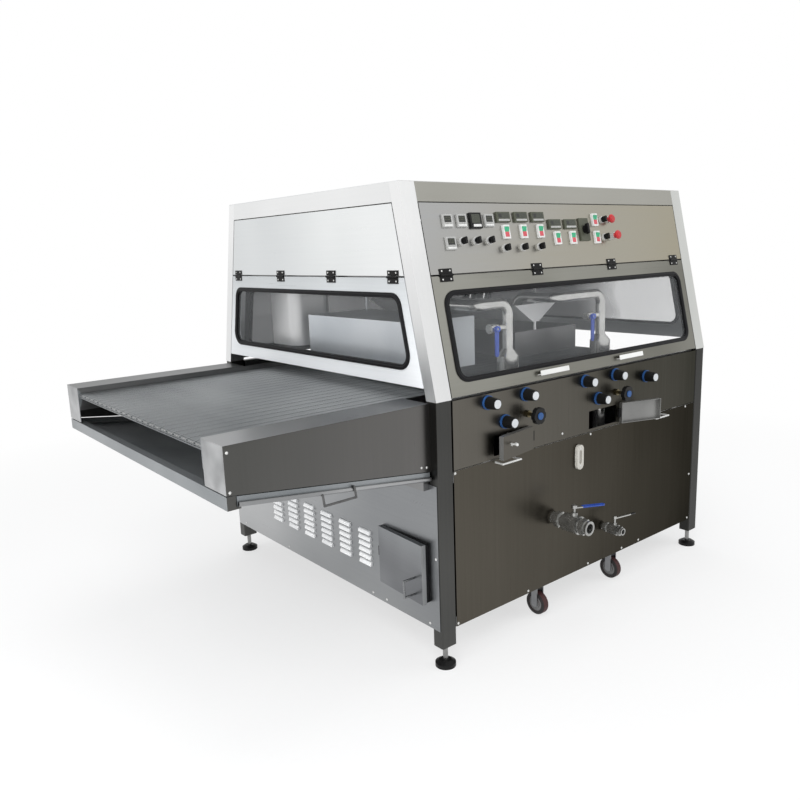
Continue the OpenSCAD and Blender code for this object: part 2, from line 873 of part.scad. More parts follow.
module control_panel() {
    x1 = post_w + seam_gap;
    hole_gap = 0.5;
    color("silver") placed() on_slope() {
        slope_return(hinge_v + seam_gap);
        difference() {
            translate([x1, hinge_v + seam_gap, -sheet_t])
                cube([cab_l - 2 * x1, (header_z - waist_z) / cos(hood_a) - hinge_v - 2 * seam_gap, sheet_t]);
            for (p = controller_places)
                instrument_hole(p, ctl_w + 2 * hole_gap, ctl_w + 2 * hole_gap);
            instrument_hole([ctl_x + 2 * ctl_pitch, hinge_v + ctl_up],
                rec_w + 2 * hole_gap, rec_w + 2 * hole_gap);
            for (p = display_places)
                instrument_hole(p, disp_w + 2 * hole_gap, disp_h + 2 * hole_gap);
        }
    }
}

// Cut-out behind a bezel, three millimetres inside its edge
module instrument_hole(p, w, h) {
    block([p[0] - w / 2 + 3, p[1] - h / 2 + 3, -2 * sheet_t], [w - 6, h - 6, 3 * sheet_t]);
}

// Bezel in front of the panel, body through its cut-out
module instrument(p, w, h) {
    block([p[0] - w / 2, p[1] - h / 2, 0], [w, h, bezel_t]);
    block([p[0] - w / 2 + 3, p[1] - h / 2 + 3, -body_in], [w - 6, h - 6, body_in + 1]);
}

module collar(p, h, bore) {
    translate(p)
        difference() {
            cylinder(h = h, d = collar_d);
            upright([0, 0, -1], h + 2, bore + 2 * run_gap);
        }
}

// Controllers, recorder, displays, switch bases, collars and the main switch plate
module panel_instruments() {
    color("dimgray") placed() on_slope() {
        for (p = controller_places)
            instrument(p, ctl_w, ctl_w);
        instrument([ctl_x + 2 * ctl_pitch, hinge_v + ctl_up], rec_w, rec_w);
        for (p = display_places)
            instrument(p, disp_w, disp_h);
        for (p = rocker_places)
            translate(p)
                difference() {
                    block([-switch_w / 2, -switch_h / 2, 0], [switch_w, switch_h, switch_t]);
                    translate([-rocker_w / 2 - rocker_gap, -rocker_h / 2 - 1, 1])
                        cube([rocker_w + 2 * rocker_gap, rocker_h + 2, switch_t]);
                    along_x([-rocker_w / 2 - rocker_pin - 0.5, 0, rocker_up], rocker_w + 2 * rocker_pin + 1,
                            pin_d + 2 * run_gap);
                }
        for (p = selector_places)
            collar(p, collar_h, shank_d);
        for (i = [0, 1])
            collar(button_places[i], collar_hs[i], shank_d);
        translate([main_x, hinge_v + (disp_up + low_up) / 2 - 6, 0])
            difference() {
                block([-main_w / 2, -main_h / 2, 0], [main_w, main_h, main_t]);
                upright([0, 0, 1], main_t, spindle_d + 2 * run_gap);
            }
    }
}

// Two-colour rocker on a pin in its base, resting with its lower half pressed in
module rocker(p) {
    color("seagreen") placed() on_slope()
        translate([p[0], p[1], rocker_up])
            rotate([rocker_tilt, 0, 0]) {
                along_x([-rocker_w / 2 - rocker_pin, 0, 0], rocker_w + 2 * rocker_pin, pin_d);
                translate([-rocker_w / 2, 0, 0])
                    rotate([90, 0, 90]) linear_extrude(rocker_w)
                            polygon([[-rocker_h / 2, -2], [rocker_h / 2, -2], [rocker_h / 2, 7],
                                     [0, 4.5], [-rocker_h / 2, 7]]);
            }
}

module selector(p) {
    color("black") placed() on_slope()
        translate(p) {
            upright([0, 0, 0.4], collar_h + 1.6, shank_d);
            translate([0, 0, collar_h + 1])
                rotate([0, 0, 90]) linear_extrude(selector_h)
                        slot_shape(collar_d - 4, 10);
        }
}

module mushroom_button(p, h) {
    neck = h + mushroom_travel + 2;
    color("red") placed() on_slope()
        translate(p) {
            upright([0, 0, mushroom_travel + 1], neck - mushroom_travel, shank_d);
            translate([0, 0, neck])
                cylinder(h = 6, d1 = mushroom_d - 8, d2 = mushroom_d);
            upright([0, 0, neck + 6], 5, mushroom_d);
            translate([0, 0, neck + 11])
                cylinder(h = 5, d1 = mushroom_d, d2 = mushroom_d - 12);
        }
}

module main_switch_lever() {
    color("black") placed() on_slope()
        translate([main_x, hinge_v + (disp_up + low_up) / 2 - 6, 0]) {
            upright([0, 0, 1.5], main_t, spindle_d);
            upright([0, 0, main_t + 0.4], 8, 34);
            translate([0, 0, main_t + 8])
                rotate([0, 0, 90]) linear_extrude(14)
                        slot_shape(46, 12);
        }
}

// Front panel between seam and waist, with the hatch openings and the holes of the valve spindles
module front_middle_panel() {
    x1 = post_w + seam_gap;
    color("dimgray") placed() on_front() {
        both_ends()
            block([x1, mid_low_z, -fold], [sheet_t, mid_top_z - mid_low_z, fold]);
        difference() {
            block([x1, mid_low_z, -sheet_t], [cab_l - 2 * x1, mid_top_z - mid_low_z, sheet_t]);
            for (g = group_xs) {
                translate([hatch_x + g - hinge_off - hatch_w + hatch_lap, hatch_z + hatch_lap, -2 * sheet_t])
                    cube([hatch_w - 2 * hatch_lap, hatch_h - 2 * hatch_lap, 3 * sheet_t]);
                translate([knob_x_1 + wheel_x + g, waist_z - wheel_row, -2 * sheet_t])
                    cylinder(h = 3 * sheet_t, d = hand_stem_d + 2 * run_gap);
            }
            for (p = knob_places)
                upright([p[0], p[1], -2 * sheet_t], 3 * sheet_t, spindle_d + 2 * run_gap);
        }
    }
}

// Lift-off panel with two bow handles and folded side edges
module front_lower_panel() {
    x1 = post_w + seam_gap;
    low = skirt_z + tube + 2;
    color("dimgray") placed() on_front() {
        difference() {
            block([x1, skirt_z, -sheet_t], [cab_l - 2 * x1, seam_z - 1.5 - skirt_z, sheet_t]);
            upright([drain_x, drain_z, -2 * sheet_t], 3 * sheet_t, drain_d + 2);
            upright([sample_x, sample_z, -2 * sheet_t], 3 * sheet_t, sample_d + 2);
        }
        both_ends()
            block([x1, low, -fold], [sheet_t, beam_z - tube - 2 - low, fold]);
        for (x = [bow_x, bow_x + bow_pitch])
            translate([x, seam_z - bow_down, 0])
                bow(bow_span, bow_out, bow_d);
    }
}

// Quarter-round hood pressed out over a slot, open underneath
module louvre() {
    wall = 1.5;
    rotate([-90, 0, 0])
        linear_extrude(louvre_w)
            intersection() {
                difference() {
                    circle(louvre_out);
                    circle(louvre_out - wall);
                }
                translate([-2 * louvre_out, -2 * louvre_out])
                    square(2 * louvre_out);
            }
    for (y = [0, louvre_w - wall])
        translate([0, y, 0])
            rotate([-90, 0, 0])
                linear_extrude(wall)
                    intersection() {
                        circle(louvre_out);
                        translate([-2 * louvre_out, -2 * louvre_out])
                            square(2 * louvre_out);
                    }
}

module left_lower_panel() {
    color("gray") placed() {
        difference() {
            block([0, end_lap_y, skirt_z], [sheet_t, cab_d - 2 * end_lap_y, end_panel_z - skirt_z]);
            translate([-sheet_t, end_hatch_y - hinge_off - end_hatch_w + hatch_lap, end_hatch_z + hatch_lap])
                cube([3 * sheet_t, end_hatch_w - 2 * hatch_lap, end_hatch_h - 2 * hatch_lap]);
            louvre_places()
                block([-sheet_t, 2, 0], [3 * sheet_t, louvre_w - 4, louvre_out - 2]);
        }
        louvre_places()
            louvre();
    }
}

module louvre_places() {
    for (c = [0 : louvre_cols - 1], r = [0 : louvre_rows - 1])
        translate([0, louvre_y - louvre_w / 2 + c * louvre_pitch, louvre_z + r * louvre_rise])
            children();
}

module levelling_feet() {
    color("black") placed() both_ends() front_and_rear()
        translate([(sheet_t + post_w) / 2, post_d / 2, 0]) {
            cylinder(h = foot_h * 0.6, d = foot_d);
            translate([0, 0, foot_h * 0.6])
                cylinder(h = foot_h * 0.4, d1 = foot_d, d2 = foot_d * 0.6);
            cylinder(h = post_z, d = foot_stem_d);
        }
}

module castor_places() {
    for (x = [castor_in, castor_in + castor_pitch])
        translate([x, castor_y, wheel_z])
            children();
}

module castor_forks() {
    gap = 2;
    leg_w = 44;
    plate = 80;
    color("lightgray") placed() front_and_rear() castor_places() {
        for (s = [-1, 1])
            translate([s * (wheel_w / 2 + gap + fork_t / 2), 0, 0])
                rotate([90, 0, 90])
                    linear_extrude(fork_t, center = true) {
                        circle(d = leg_w * 0.7);
                        translate([-leg_w * 0.35, 0])
                            square([leg_w * 0.7, skirt_z - wheel_z - fork_t]);
                    }
        block([-plate / 2, -plate / 2, skirt_z - wheel_z - fork_t], [plate, plate, fork_t]);
        along_x([-wheel_w / 2 - gap - fork_t, 0, 0], wheel_w + 2 * (gap + fork_t), axle_d);
    }
}

// Wheels that share one axle line, with a recessed hub and a rounded tread
module castor_wheels() {
    castor_places()
        rotate([0, 90, 0])
            rotate_extrude()
                difference() {
                    translate([axle_d / 2 + run_gap, -wheel_w / 2])
                        rounded_rect(wheel_d / 2 - axle_d / 2 - run_gap, wheel_w, 5);
                    translate([0, -wheel_w / 2 - 1])
                        square([axle_d / 2 + run_gap, wheel_w + 2]);
                    for (s = [-1, 1])
                        translate([wheel_d * 0.22, s * wheel_w / 2 - 3])
                            square([wheel_d * 0.12, 6]);
                }
}

module front_wheels() {
    color("brown") placed()
        castor_wheels();
}

module rear_wheels() {
    color("brown") placed() at_rear()
        castor_wheels();
}

// Bed plates, side boxes, end rail, belt rails and the tray's runners
module conveyor_frame() {
    top_z = flange_z - conv_t;
    plate_low = belt_z - bed_deep;
    rail_low = belt_z - belt_t - 0.6;
    bar_t = 10;
    rail_x = 30 - conv_l;
    rail_top = plate_z(rail_x) - weld_gap;
    color("silver") placed() {
        front_and_rear() {
            translate([0, conv_in + conv_t, 0])
                rotate([90, 0, 0]) linear_extrude(conv_t)
                        polygon([[-conv_l, plate_z(-conv_l)], [sheet_t, plate_z(sheet_t)],
                                 [sheet_t, top_z - weld_gap], [-conv_l, top_z - weld_gap]]);
            block([-conv_l, conv_in, top_z], [conv_l, flange_w, conv_t]);
            translate([-conv_l, conv_in + conv_t + weld_gap, plate_z(-conv_l)])
                cube([conv_t, flange_w - conv_t - bed_t - 2 * weld_gap, side_h_1 - conv_t - weld_gap]);
            difference() {
                union() {
                    translate([-conv_l, bed_y, plate_low])
                        cube([conv_l + cab_l - tube, bed_t, top_z - weld_gap - plate_low]);
                    both_ends()
                        translate([bed_in - tube / 2, bed_y, beam_z + beam + 2 * weld_gap])
                            cube([tube, bed_t, plate_low - beam_z - beam]);
                }
                for (p = [[nose_x, nose_z, nose_journal_d], [drive_shaft_x, drive_z, journal_d]])
                    along_y([p[0], bed_y - 1, p[1]], bed_t + 2, p[2] + 2 * run_gap);
            }
        }
        translate([-conv_l, conv_in, rail_top - end_rail_h])
            cube([rail_x + conv_l, cab_d - 2 * conv_in, end_rail_h]);
        translate([rail_x, conv_in, rail_top - end_rail_h])
            cube([15, cab_d - 2 * conv_in, tray_floor(rail_x + 15) - weld_gap - rail_top + end_rail_h]);
        translate([-25, post_d, end_panel_z - 20])
            cube([25 - weld_gap, cab_d - 2 * post_d, tray_floor(tray_x_2) - weld_gap - end_panel_z + 20]);
        for (x = [-conv_l * 0.7, -conv_l * 0.25, cab_l * 0.22, cab_l * 0.5, cab_l * 0.78])
            translate([x - 10, bed_y + bed_t + weld_gap, rail_low - 8 - bar_t])
                cube([20, cab_d - 2 * (bed_y + bed_t + weld_gap), bar_t]);
        for (s = [-1 : 1])
            translate([nose_x + nose_d + 10, cab_d / 2 + s * (belt_w / 2 - 20) - 10, rail_low - 8 + weld_gap])
                cube([drive_shaft_x - drive_d / 2 - 20 - nose_x - nose_d - 10, 20, 8 - weld_gap]);
    }
}

// Closed loop with straight runs tangent to the nose roller and the drive sprockets
module belt_loop(grow) {
    r1 = nose_d / 2 + belt_gap + grow;
    r2 = drive_d / 2 + belt_gap + grow;
    c1 = [nose_x, nose_z];
    c2 = [drive_shaft_x, drive_z];
    tilt = 2 * atan2(c1[1] - c2[1], c2[0] - c1[0]);
    down = [-sin(tilt), -cos(tilt)];
    translate(c1)
        circle(r1);
    translate(c2)
        circle(r2);
    ease = 0.002;
    polygon([c1 + [0, r1], c1, c1 + (r1 - ease) * down, c2 + (r2 - ease) * down, c2, c2 + [0, r2]]);
}

// Belt as a closed band with a plain grid of openings
module wire_belt() {
    step_x = (drive_shaft_x - nose_x - belt_web) / belt_rows;
    step_y = (belt_w - belt_web) / belt_cols;
    color("darkgray") placed()
        difference() {
            translate([0, (cab_d + belt_w) / 2, 0])
                rotate([90, 0, 0]) linear_extrude(belt_w)
                        difference() {
                            belt_loop(belt_t);
                            belt_loop(0);
                        }
            for (i = [0 : belt_rows - 1], j = [0 : belt_cols - 1])
                translate([nose_x + belt_web + i * step_x, (cab_d - belt_w) / 2 + belt_web + j * step_y,
                           drive_z - drive_d])
                    cube([step_x - belt_web, step_y - belt_web, 2 * drive_d]);
        }
}

// Journals of a roller in the bed plates, and its barrel between them
module roller_body(d, journal) {
    along_y([0, bed_y, 0], cab_d - 2 * bed_y, journal);
    along_y([0, bed_y + bed_t + 1, 0], cab_d - 2 * (bed_y + bed_t + 1), d);
}

module nose_roller() {
    color("silver") placed()
        translate([nose_x, 0, nose_z])
            roller_body(nose_d, nose_journal_d);
}

module drive_shaft() {
    sprocket_w = 18;
    color("silver") placed()
        translate([drive_shaft_x, 0, drive_z]) {
            roller_body(drive_shaft_d, journal_d);
            for (i = [0 : sprockets - 1])
                along_y([0, (cab_d - belt_w) / 2 + 20 + i * (belt_w - 40 - sprocket_w) / (sprockets - 1), 0],
                        sprocket_w, drive_d);
        }
}

// Height of the tray's underside along X
function tray_floor(x) = plate_z(x) - tray_gap - tray_h;

// Sloping tray that drains towards the cabinet and pulls out towards the operator
module drip_tray() {
    y2 = cab_d - conv_in;
    mid_z = tray_floor(-pull_x) + tray_h / 3;
    side = pull_span / 2;
    color("silver") placed() {
        translate([0, y2, 0])
            rotate([90, 0, 0]) linear_extrude(y2 - conv_in)
                    tray_outline(tray_t);
        for (y = [conv_in + tray_t, y2])
            translate([0, y, 0])
                rotate([90, 0, 0]) linear_extrude(tray_t)
                        tray_outline(tray_h);
        for (x = [tray_x_1, tray_x_2 - tray_t])
            translate([x, conv_in, tray_floor(x + tray_t) + tray_t / 2])
                cube([tray_t, y2 - conv_in, tray_h - tray_t]);
        translate([-pull_x, conv_in, mid_z])
            wire([[-side, 1, 0], [-side, -0.6 * pull_out, 0], [-side, -pull_out, -pull_drop],
                  [side, -pull_out, -pull_drop], [side, -0.6 * pull_out, 0], [side, 1, 0]], bow_d);
    }
}

module tray_outline(h) {
    polygon([[tray_x_1, tray_floor(tray_x_1)], [tray_x_2, tray_floor(tray_x_2)],
             [tray_x_2, tray_floor(tray_x_2) + h], [tray_x_1, tray_floor(tray_x_1) + h]]);
}

// Open trough under the belt, on four legs
module chocolate_tank() {
    w = cab_d - 2 * tank_y;
    l = cab_l - 2 * tank_in;
    leg_z = skirt_z + tube;
    color("lightgray") placed() {
        difference() {
            translate([tank_in, tank_y, tank_z])
                rotate([90, 0, 90]) linear_extrude(l)
                        tank_shape(w, tank_top - tank_z, tank_r);
            translate([tank_in + tank_wall, tank_y + tank_wall, tank_z + tank_wall])
                rotate([90, 0, 90]) linear_extrude(l - 2 * tank_wall)
                        tank_shape(w - 2 * tank_wall, tank_top - tank_z, tank_r - tank_wall);
        }
        both_ends() front_and_rear()
            block([2 * tank_in, tank_y + tank_r + 60, leg_z], [tube, tube, tank_z - leg_z + 1]);
    }
}

module tank_shape(w, h, r) {
    translate([0, r])
        square([w, h - r]);
    translate([r, 0])
        square([w - 2 * r, h]);
    for (x = [r, w - r])
        translate([x, r])
            circle(r);
}

// Pump column, riser pipe, bends, and the small valve on its side
module riser(x, run, drop, mouth_z) {
    y = riser_y;
    floor_z = tank_z + tank_wall + weld_gap;
    neck_z = waist_z + 5;
    pump_up = 10;
    upright([x, y, floor_z], pump_up + 1, pump_foot_d);
    upright([x, y, floor_z + pump_up], neck_z - floor_z - pump_up + 1, pump_d);
    upright([x, y, neck_z], riser_base_z - neck_z - 30, riser_base_d);
    translate([x, y, riser_base_z - 30])
        cylinder(h = 30, d1 = riser_base_d, d2 = riser_d);
    upright([x, y, riser_base_z - 1], riser_z - bend_r - riser_base_z + 1, riser_d);
    bend([x - bend_r, y, riser_z - bend_r], [90, 0, 0]);
    along_x([x - run + bend_r, y, riser_z], run - 2 * bend_r, riser_d);
    bend([x - run + bend_r, y + bend_r, riser_z], [0, 0, 180]);
    along_y([x - run, y + bend_r, riser_z], drop - y - 2 * bend_r, riser_d);
    bend([x - run, drop - bend_r, riser_z - bend_r], [90, 0, 90]);
    upright([x - run, drop, mouth_z], riser_z - bend_r - mouth_z, riser_d);
    along_x([x - riser_valve_x - 24, y, riser_valve_z], riser_valve_x + 24, 24);
    along_x([x - riser_valve_x - 20, y, riser_valve_z], 40, 38);
    along_y([x - riser_valve_x, y - 30, riser_valve_z], 30, spindle_d);
}

// Quarter bend of a riser pipe
module bend(p, turn) {
    translate(p)
        rotate(turn)
            rotate_extrude(angle = 90)
                translate([bend_r, 0])
                    circle(d = riser_d);
}

// Ball valve on the front panel, with its stem on top; local Z points at the operator
module ball_valve(pipe, body, out, inside) {
    hex = body * 0.92;
    difference() {
        union() {
            upright([0, 0, -inside], out + inside - 1, pipe);
            translate([0, 0, out * 0.1])
                cylinder(h = out * 0.12, d = hex, $fn = 6);
            upright([0, 0, out * 0.34], out * 0.4, body);
            translate([0, 0, out * 0.29])
                cylinder(h = out * 0.06, d1 = pipe, d2 = body);
            translate([0, 0, out * 0.78])
                cylinder(h = out * 0.12, d = hex, $fn = 6);
            upright([0, 0, out * 0.95], out * 0.05, pipe * 1.2);
        }
        upright([0, 0, out * 0.7], out, pipe * 0.8);
    }
    along_y([0, 0, out * stem_at], valve_stem(body), spindle_d);
    along_y([0, body * 0.4, out * stem_at], body * 0.25, body * 0.36);
}

// Height of a ball valve's stem above the pipe's middle
function valve_stem(body) = body * 0.65 + stem_rise;

module pipework() {
    inside = tank_y - weld_gap;
    color("silver") placed() {
        riser(riser_xs[0], riser_xs[0] - box_x - box_l * 0.6, coat_y + mouth_in, coat_z + box_h + weld_gap);
        riser(riser_xs[1], riser_xs[1] - trough_x + pour_off, coat_y + mouth_in, trough_z - 20);
        on_front() {
            translate([drain_x, drain_z, 0])
                ball_valve(drain_d, drain_body_d, drain_out, inside);
            translate([sample_x, sample_z, 0])
                ball_valve(sample_d, sample_body_d, sample_out, inside);
        }
    }
}

// Flat lever with a hub that turns on a valve's stem; it points along local X
module valve_lever(l, w, bore) {
    difference() {
        union() {
            cylinder(h = lever_t + 7, d = w + 4);
            block([0, -w / 2, 0], [l - w / 2, w, lever_t]);
            upright([l - w / 2, 0, 0], lever_t, w);
        }
        upright([0, 0, -1], lever_t + 9, bore + 2 * run_gap);
    }
}

module drain_lever() {
    color("royalblue") placed()
        translate([drain_x, -drain_out * stem_at, drain_z + valve_stem(drain_body_d) - lever_t - 8])
            rotate([0, 0, -drain_lever_a])
                valve_lever(drain_lever, lever_w, spindle_d);
}

module sample_lever() {
    color("silver") placed()
        translate([sample_x, -sample_out * stem_at, sample_z + valve_stem(sample_body_d) - lever_t - 8])
            rotate([0, 0, -sample_lever_a])
                valve_lever(sample_lever, lever_w * 0.6, spindle_d);
}

module riser_lever_at(x) {
    color("royalblue") placed()
        translate([x - riser_valve_x, riser_y - 20, riser_valve_z])
            rotate([90, 90, 0])
                valve_lever(riser_lever, lever_w, spindle_d);
}

// Level gauge: a pill-shaped housing with a sunken window
module level_gauge() {
    color("white") placed() on_front()
        translate([gauge_x, seam_z - gauge_down, 0])
            difference() {
                rotate([0, 0, 90]) linear_extrude(gauge_t)
                        slot_shape(gauge_h, gauge_w);
                translate([0, 0, gauge_t - 4])
                    rotate([0, 0, 90]) linear_extrude(5)
                            slot_shape(gauge_h * 0.55, gauge_w * 0.4);
            }
}

// Curtain box, trough with its own curtain box, air column, and the rods that hang them
module coating_head() {
    box_top = coat_z + box_h;
    trough_l = cab_d - 2 * coat_y;
    cut = trough_h * 0.25;
    color("lightgray") placed() {
        difference() {
            block([box_x, coat_y, coat_z], [box_l, box_w, box_h]);
            translate([box_x + coat_t, coat_y + coat_t, coat_z - 1])
                cube([box_l - 2 * coat_t, box_w - 2 * coat_t, box_h - coat_t + 1]);
        }
        translate([trough_x, coat_y + trough_l, trough_z])
            rotate([90, 0, 0]) linear_extrude(trough_l)
                    polygon([[-trough_w / 2, 0], [-cut, -trough_h], [cut, -trough_h], [trough_w / 2, 0],
                             [trough_w / 2 - 2 * coat_t, 0], [cut - coat_t, coat_t - trough_h],
                             [coat_t - cut, coat_t - trough_h], [2 * coat_t - trough_w / 2, 0]]);
        for (y = [coat_y, coat_y + trough_l - coat_t])
            translate([trough_x, y + coat_t, trough_z])
                rotate([90, 0, 0]) linear_extrude(coat_t)
                        polygon([[-trough_w / 2, 0], [-cut, -trough_h], [cut, -trough_h], [trough_w / 2, 0]]);
        difference() {
            block([trough_x - trough_w / 2, coat_y, coat_z], [curtain_l, trough_l, curtain_h]);
            translate([trough_x - trough_w / 2 + coat_t, coat_y + coat_t, coat_z - 1])
                cube([curtain_l - 2 * coat_t, trough_l - 2 * coat_t, curtain_h - coat_t + 1]);
        }
        translate([box_x, cab_d - column_y - column_w, column_z])
            difference() {
                linear_extrude(roof_z - column_z - weld_gap)
                    rounded_rect(column_l, column_w, column_r);
                translate([coat_t, coat_t, -1])
                    linear_extrude(roof_z - column_z - coat_t)
                        rounded_rect(column_l - 2 * coat_t, column_w - 2 * coat_t, column_r - coat_t);
            }
        for (y = [coat_y + 200, coat_y + box_w - 60])
            upright([hanger_x[0], y, box_top + weld_gap], hinge_z - 2 * weld_gap - box_top, rod_d);
        for (y = [coat_y + coat_t / 2 + rod_d / 2, cab_d - coat_y - coat_t / 2 - rod_d / 2]) {
            upright([trough_x, y, coat_z + curtain_h - coat_t / 2],
                trough_z - coat_z - curtain_h + coat_t / 2, rod_d);
            upright([trough_x, y, trough_z + weld_gap], hinge_z - 2 * weld_gap - trough_z, rod_d);
        }
    }
}

// Tapered knob: skirt, body, cap and the spindle that turns in the panel
module knob(p) {
    stand = 1;
    color("black") placed() on_front()
        translate(p) {
            upright([0, 0, -sheet_t - spindle_in], sheet_t + spindle_in + stand + 1, spindle_d);
            upright([0, 0, stand], skirt_h, knob_d);
            translate([0, 0, stand + skirt_h])
                cylinder(h = knob_h - skirt_h - 3, d1 = knob_d - 6, d2 = knob_tip_d);
            upright([0, 0, stand + knob_h - 3], 3, cap_d);
        }
}

// Scalloped handwheel with a raised centre, on a stem that turns in the panel
module handwheel(g) {
    lobes = 6;
    color("black") placed() on_front()
        translate([knob_x_1 + wheel_x + g, waist_z - wheel_row, 0]) {
            translate([0, 0, -sheet_t - spindle_in])
                cylinder(h = sheet_t + spindle_in + hand_out - hand_t + 1, d = hand_stem_d);
            upright([0, 0, 0.4], 10, hand_stem_d * 2);
            translate([0, 0, hand_out - hand_t])
                difference() {
                    cylinder(h = hand_t, d = hand_d);
                    for (i = [0 : lobes - 1])
                        rotate([0, 0, (i + 0.5) * 360 / lobes])
                            upright([hand_d * 0.58, 0, -1], hand_t + 2, hand_d * 0.26);
                }
            upright([0, 0, hand_out - 1], 5, hand_d * 0.42);
        }
}

// Fixed leaves of every hinge, with their pins
module door_hinges() {
    color("black") placed() {
        on_slope()
            front_hinge_places()
                hinge_fixed(hinge_w, hinge_leaf, leaf_t, barrel_d, barrel_d / 2);
        on_end()
            end_hinge_places()
                hinge_fixed(hinge_w, hinge_leaf, leaf_t, barrel_d, barrel_d / 2);
        for (g = group_xs)
            translate([hatch_x + g, 0, hatch_z + hatch_h / 2])
                hatch_hinge_fixed();
        translate([0, end_hatch_y, end_hatch_z + end_hatch_h / 2])
            mirror([1, -1, 0])
                hatch_hinge_fixed();
    }
}

// Leaf on the panel, middle barrel and pin of a hatch hinge; the pin stands upright in front of the panel
module hatch_hinge_fixed() {
    block([0, -1.5, -hatch_hinge_w / 2], [24, 1.5, hatch_hinge_w]);
    upright([0, -pin_out, -hatch_hinge_w / 6], hatch_hinge_w / 3, barrel_d);
    block([-1.5, -pin_out, -hatch_hinge_w / 6], [3, pin_out, hatch_hinge_w / 3]);
    upright([0, -pin_out, -hatch_hinge_w / 2], hatch_hinge_w, pin_d);
}

// Folded hatch with its pin at the origin's Z axis; it reaches along -X and faces -Y
module hatch(w, h) {
    knuckle = hatch_hinge_w / 3 - weld_gap;
    difference() {
        union() {
            translate([-hinge_off - w, -hatch_t / 2, 0])
                difference() {
                    cube([w, hatch_t, h]);
                    translate([hatch_wall, hatch_wall, hatch_wall])
                        cube([w - 2 * hatch_wall, hatch_t, h - 2 * hatch_wall]);
                }
            for (z = [h / 2 - hatch_hinge_w / 2, h / 2 + hatch_hinge_w / 6 + weld_gap])
                translate([0, 0, z]) {
                    cylinder(h = knuckle, d = barrel_d);
                    block([-hinge_off - 1, -barrel_d / 2, 0], [hinge_off + 1, barrel_d / 2, knuckle]);
                }
        }
        upright([0, 0, -1], h + 2, pin_d + 2 * run_gap);
    }
}

module latch_knob() {
    cylinder(h = latch_out, d = 7);
    translate([0, 0, latch_out])
        sphere(d = 13);
    translate([0, 0, latch_out / 2])
        rotate([0, 90, 0])
            cylinder(h = 34, d = 6, center = true);
}

module front_hatch(g, open) {
    color("dimgray") placed()
        translate([hatch_x + g, -pin_out, hatch_z])
            rotate([0, 0, open]) {
                hatch(hatch_w, hatch_h);
                translate([-hinge_off - hatch_w + 48, -hatch_t / 2, hatch_h * 0.62])
                    rotate([90, 0, 0])
                        latch_knob();
            }
}

module end_hatch() {
    color("gray") placed()
        translate([-pin_out, end_hatch_y, end_hatch_z])
            mirror([1, -1, 0])
                rotate([0, 0, end_hatch_open]) {
                    hatch(end_hatch_w, end_hatch_h);
                    translate([-hinge_off - end_hatch_w + 50, -hatch_t / 2, end_bow_up])
                        rotate([90, 90, 0])
                            bow(end_bow_span, end_bow_out, bow_d);
                }
}

// Folded frame: a face sheet with walls round its outside and round its window
module front_door() {
    x1 = post_w + seam_gap;
    w = cab_l - 2 * x1;
    h = hinge_v - door_v - seam_gap / 2;
    color("silver") placed() on_slope() {
        difference() {
            block([x1, door_v, -door_t], [w, h, door_t]);
            translate([cab_l / 2, door_v + win_low, -door_t - 1])
                linear_extrude(door_t + 2)
                    window_shape(win_b, win_h, 0, win_r, lip_w);
            difference() {
                translate([x1 + door_wall, door_v + door_wall, -door_t - 1])
                    cube([w - 2 * door_wall, h - 2 * door_wall, door_t + 1 - door_wall]);
                translate([cab_l / 2, door_v + win_low, -door_t - 2])
                    linear_extrude(door_t + 4)
                        window_shape(win_b, win_h, 0, win_r, lip_w - door_wall);
            }
        }
        front_hinge_places()
            hinge_moving(hinge_w, hinge_leaf, leaf_t, barrel_d, barrel_d / 2);
        for (s = [-1, 1])
            translate([cab_l / 2 + s * grip_x - grip_w / 2, door_v + win_low / 2 - 2, -0.5])
                cube([grip_w, 3, grip_out + 0.5]);
    }
}

module front_window() {
    color("black") placed() on_slope()
        translate([cab_l / 2, door_v + win_low, 0])
            glazing(win_b, win_h, 0);
}

module left_door() {
    y1 = post_d + seam_gap;
    top_z = hinge_z - seam_gap / 2;
    slant = door_wall / cos(hood_a);
    color("gainsboro") placed() {
        difference() {
            end_plate(end_door_z, top_z, y1, 0, door_t);
            on_end()
                translate([cab_d / 2, end_win_z, -door_t - 1])
                    linear_extrude(door_t + 2)
                        window_shape(end_win_b, end_win_h, hood_a, win_r, lip_w);
            difference() {
                end_plate(end_door_z + door_wall, top_z - door_wall, y1 + slant, door_wall, door_t);
                on_end()
                    translate([cab_d / 2, end_win_z, -door_t - 2])
                        linear_extrude(door_t + 4)
                            window_shape(end_win_b, end_win_h, hood_a, win_r, lip_w - door_wall);
            }
        }
        on_end()
            end_hinge_places()
                hinge_moving(hinge_w, hinge_leaf, leaf_t, barrel_d, barrel_d / 2);
    }
}

module left_window() {
    color("black") placed() on_end()
        translate([cab_d / 2, end_win_z, 0])
            glazing(end_win_b, end_win_h, hood_a);
}

// Glazing of the rear slope and of the outfeed end
module fixed_windows() {
    color("black") placed() {
        at_rear() on_slope()
            translate([cab_l / 2, door_v + win_low, 0])
                glazing(win_b, win_h, 0);
        at_outfeed() on_end()
            translate([cab_d / 2, end_win_z, 0])
                glazing(end_win_b, end_win_h, hood_a);
    }
}

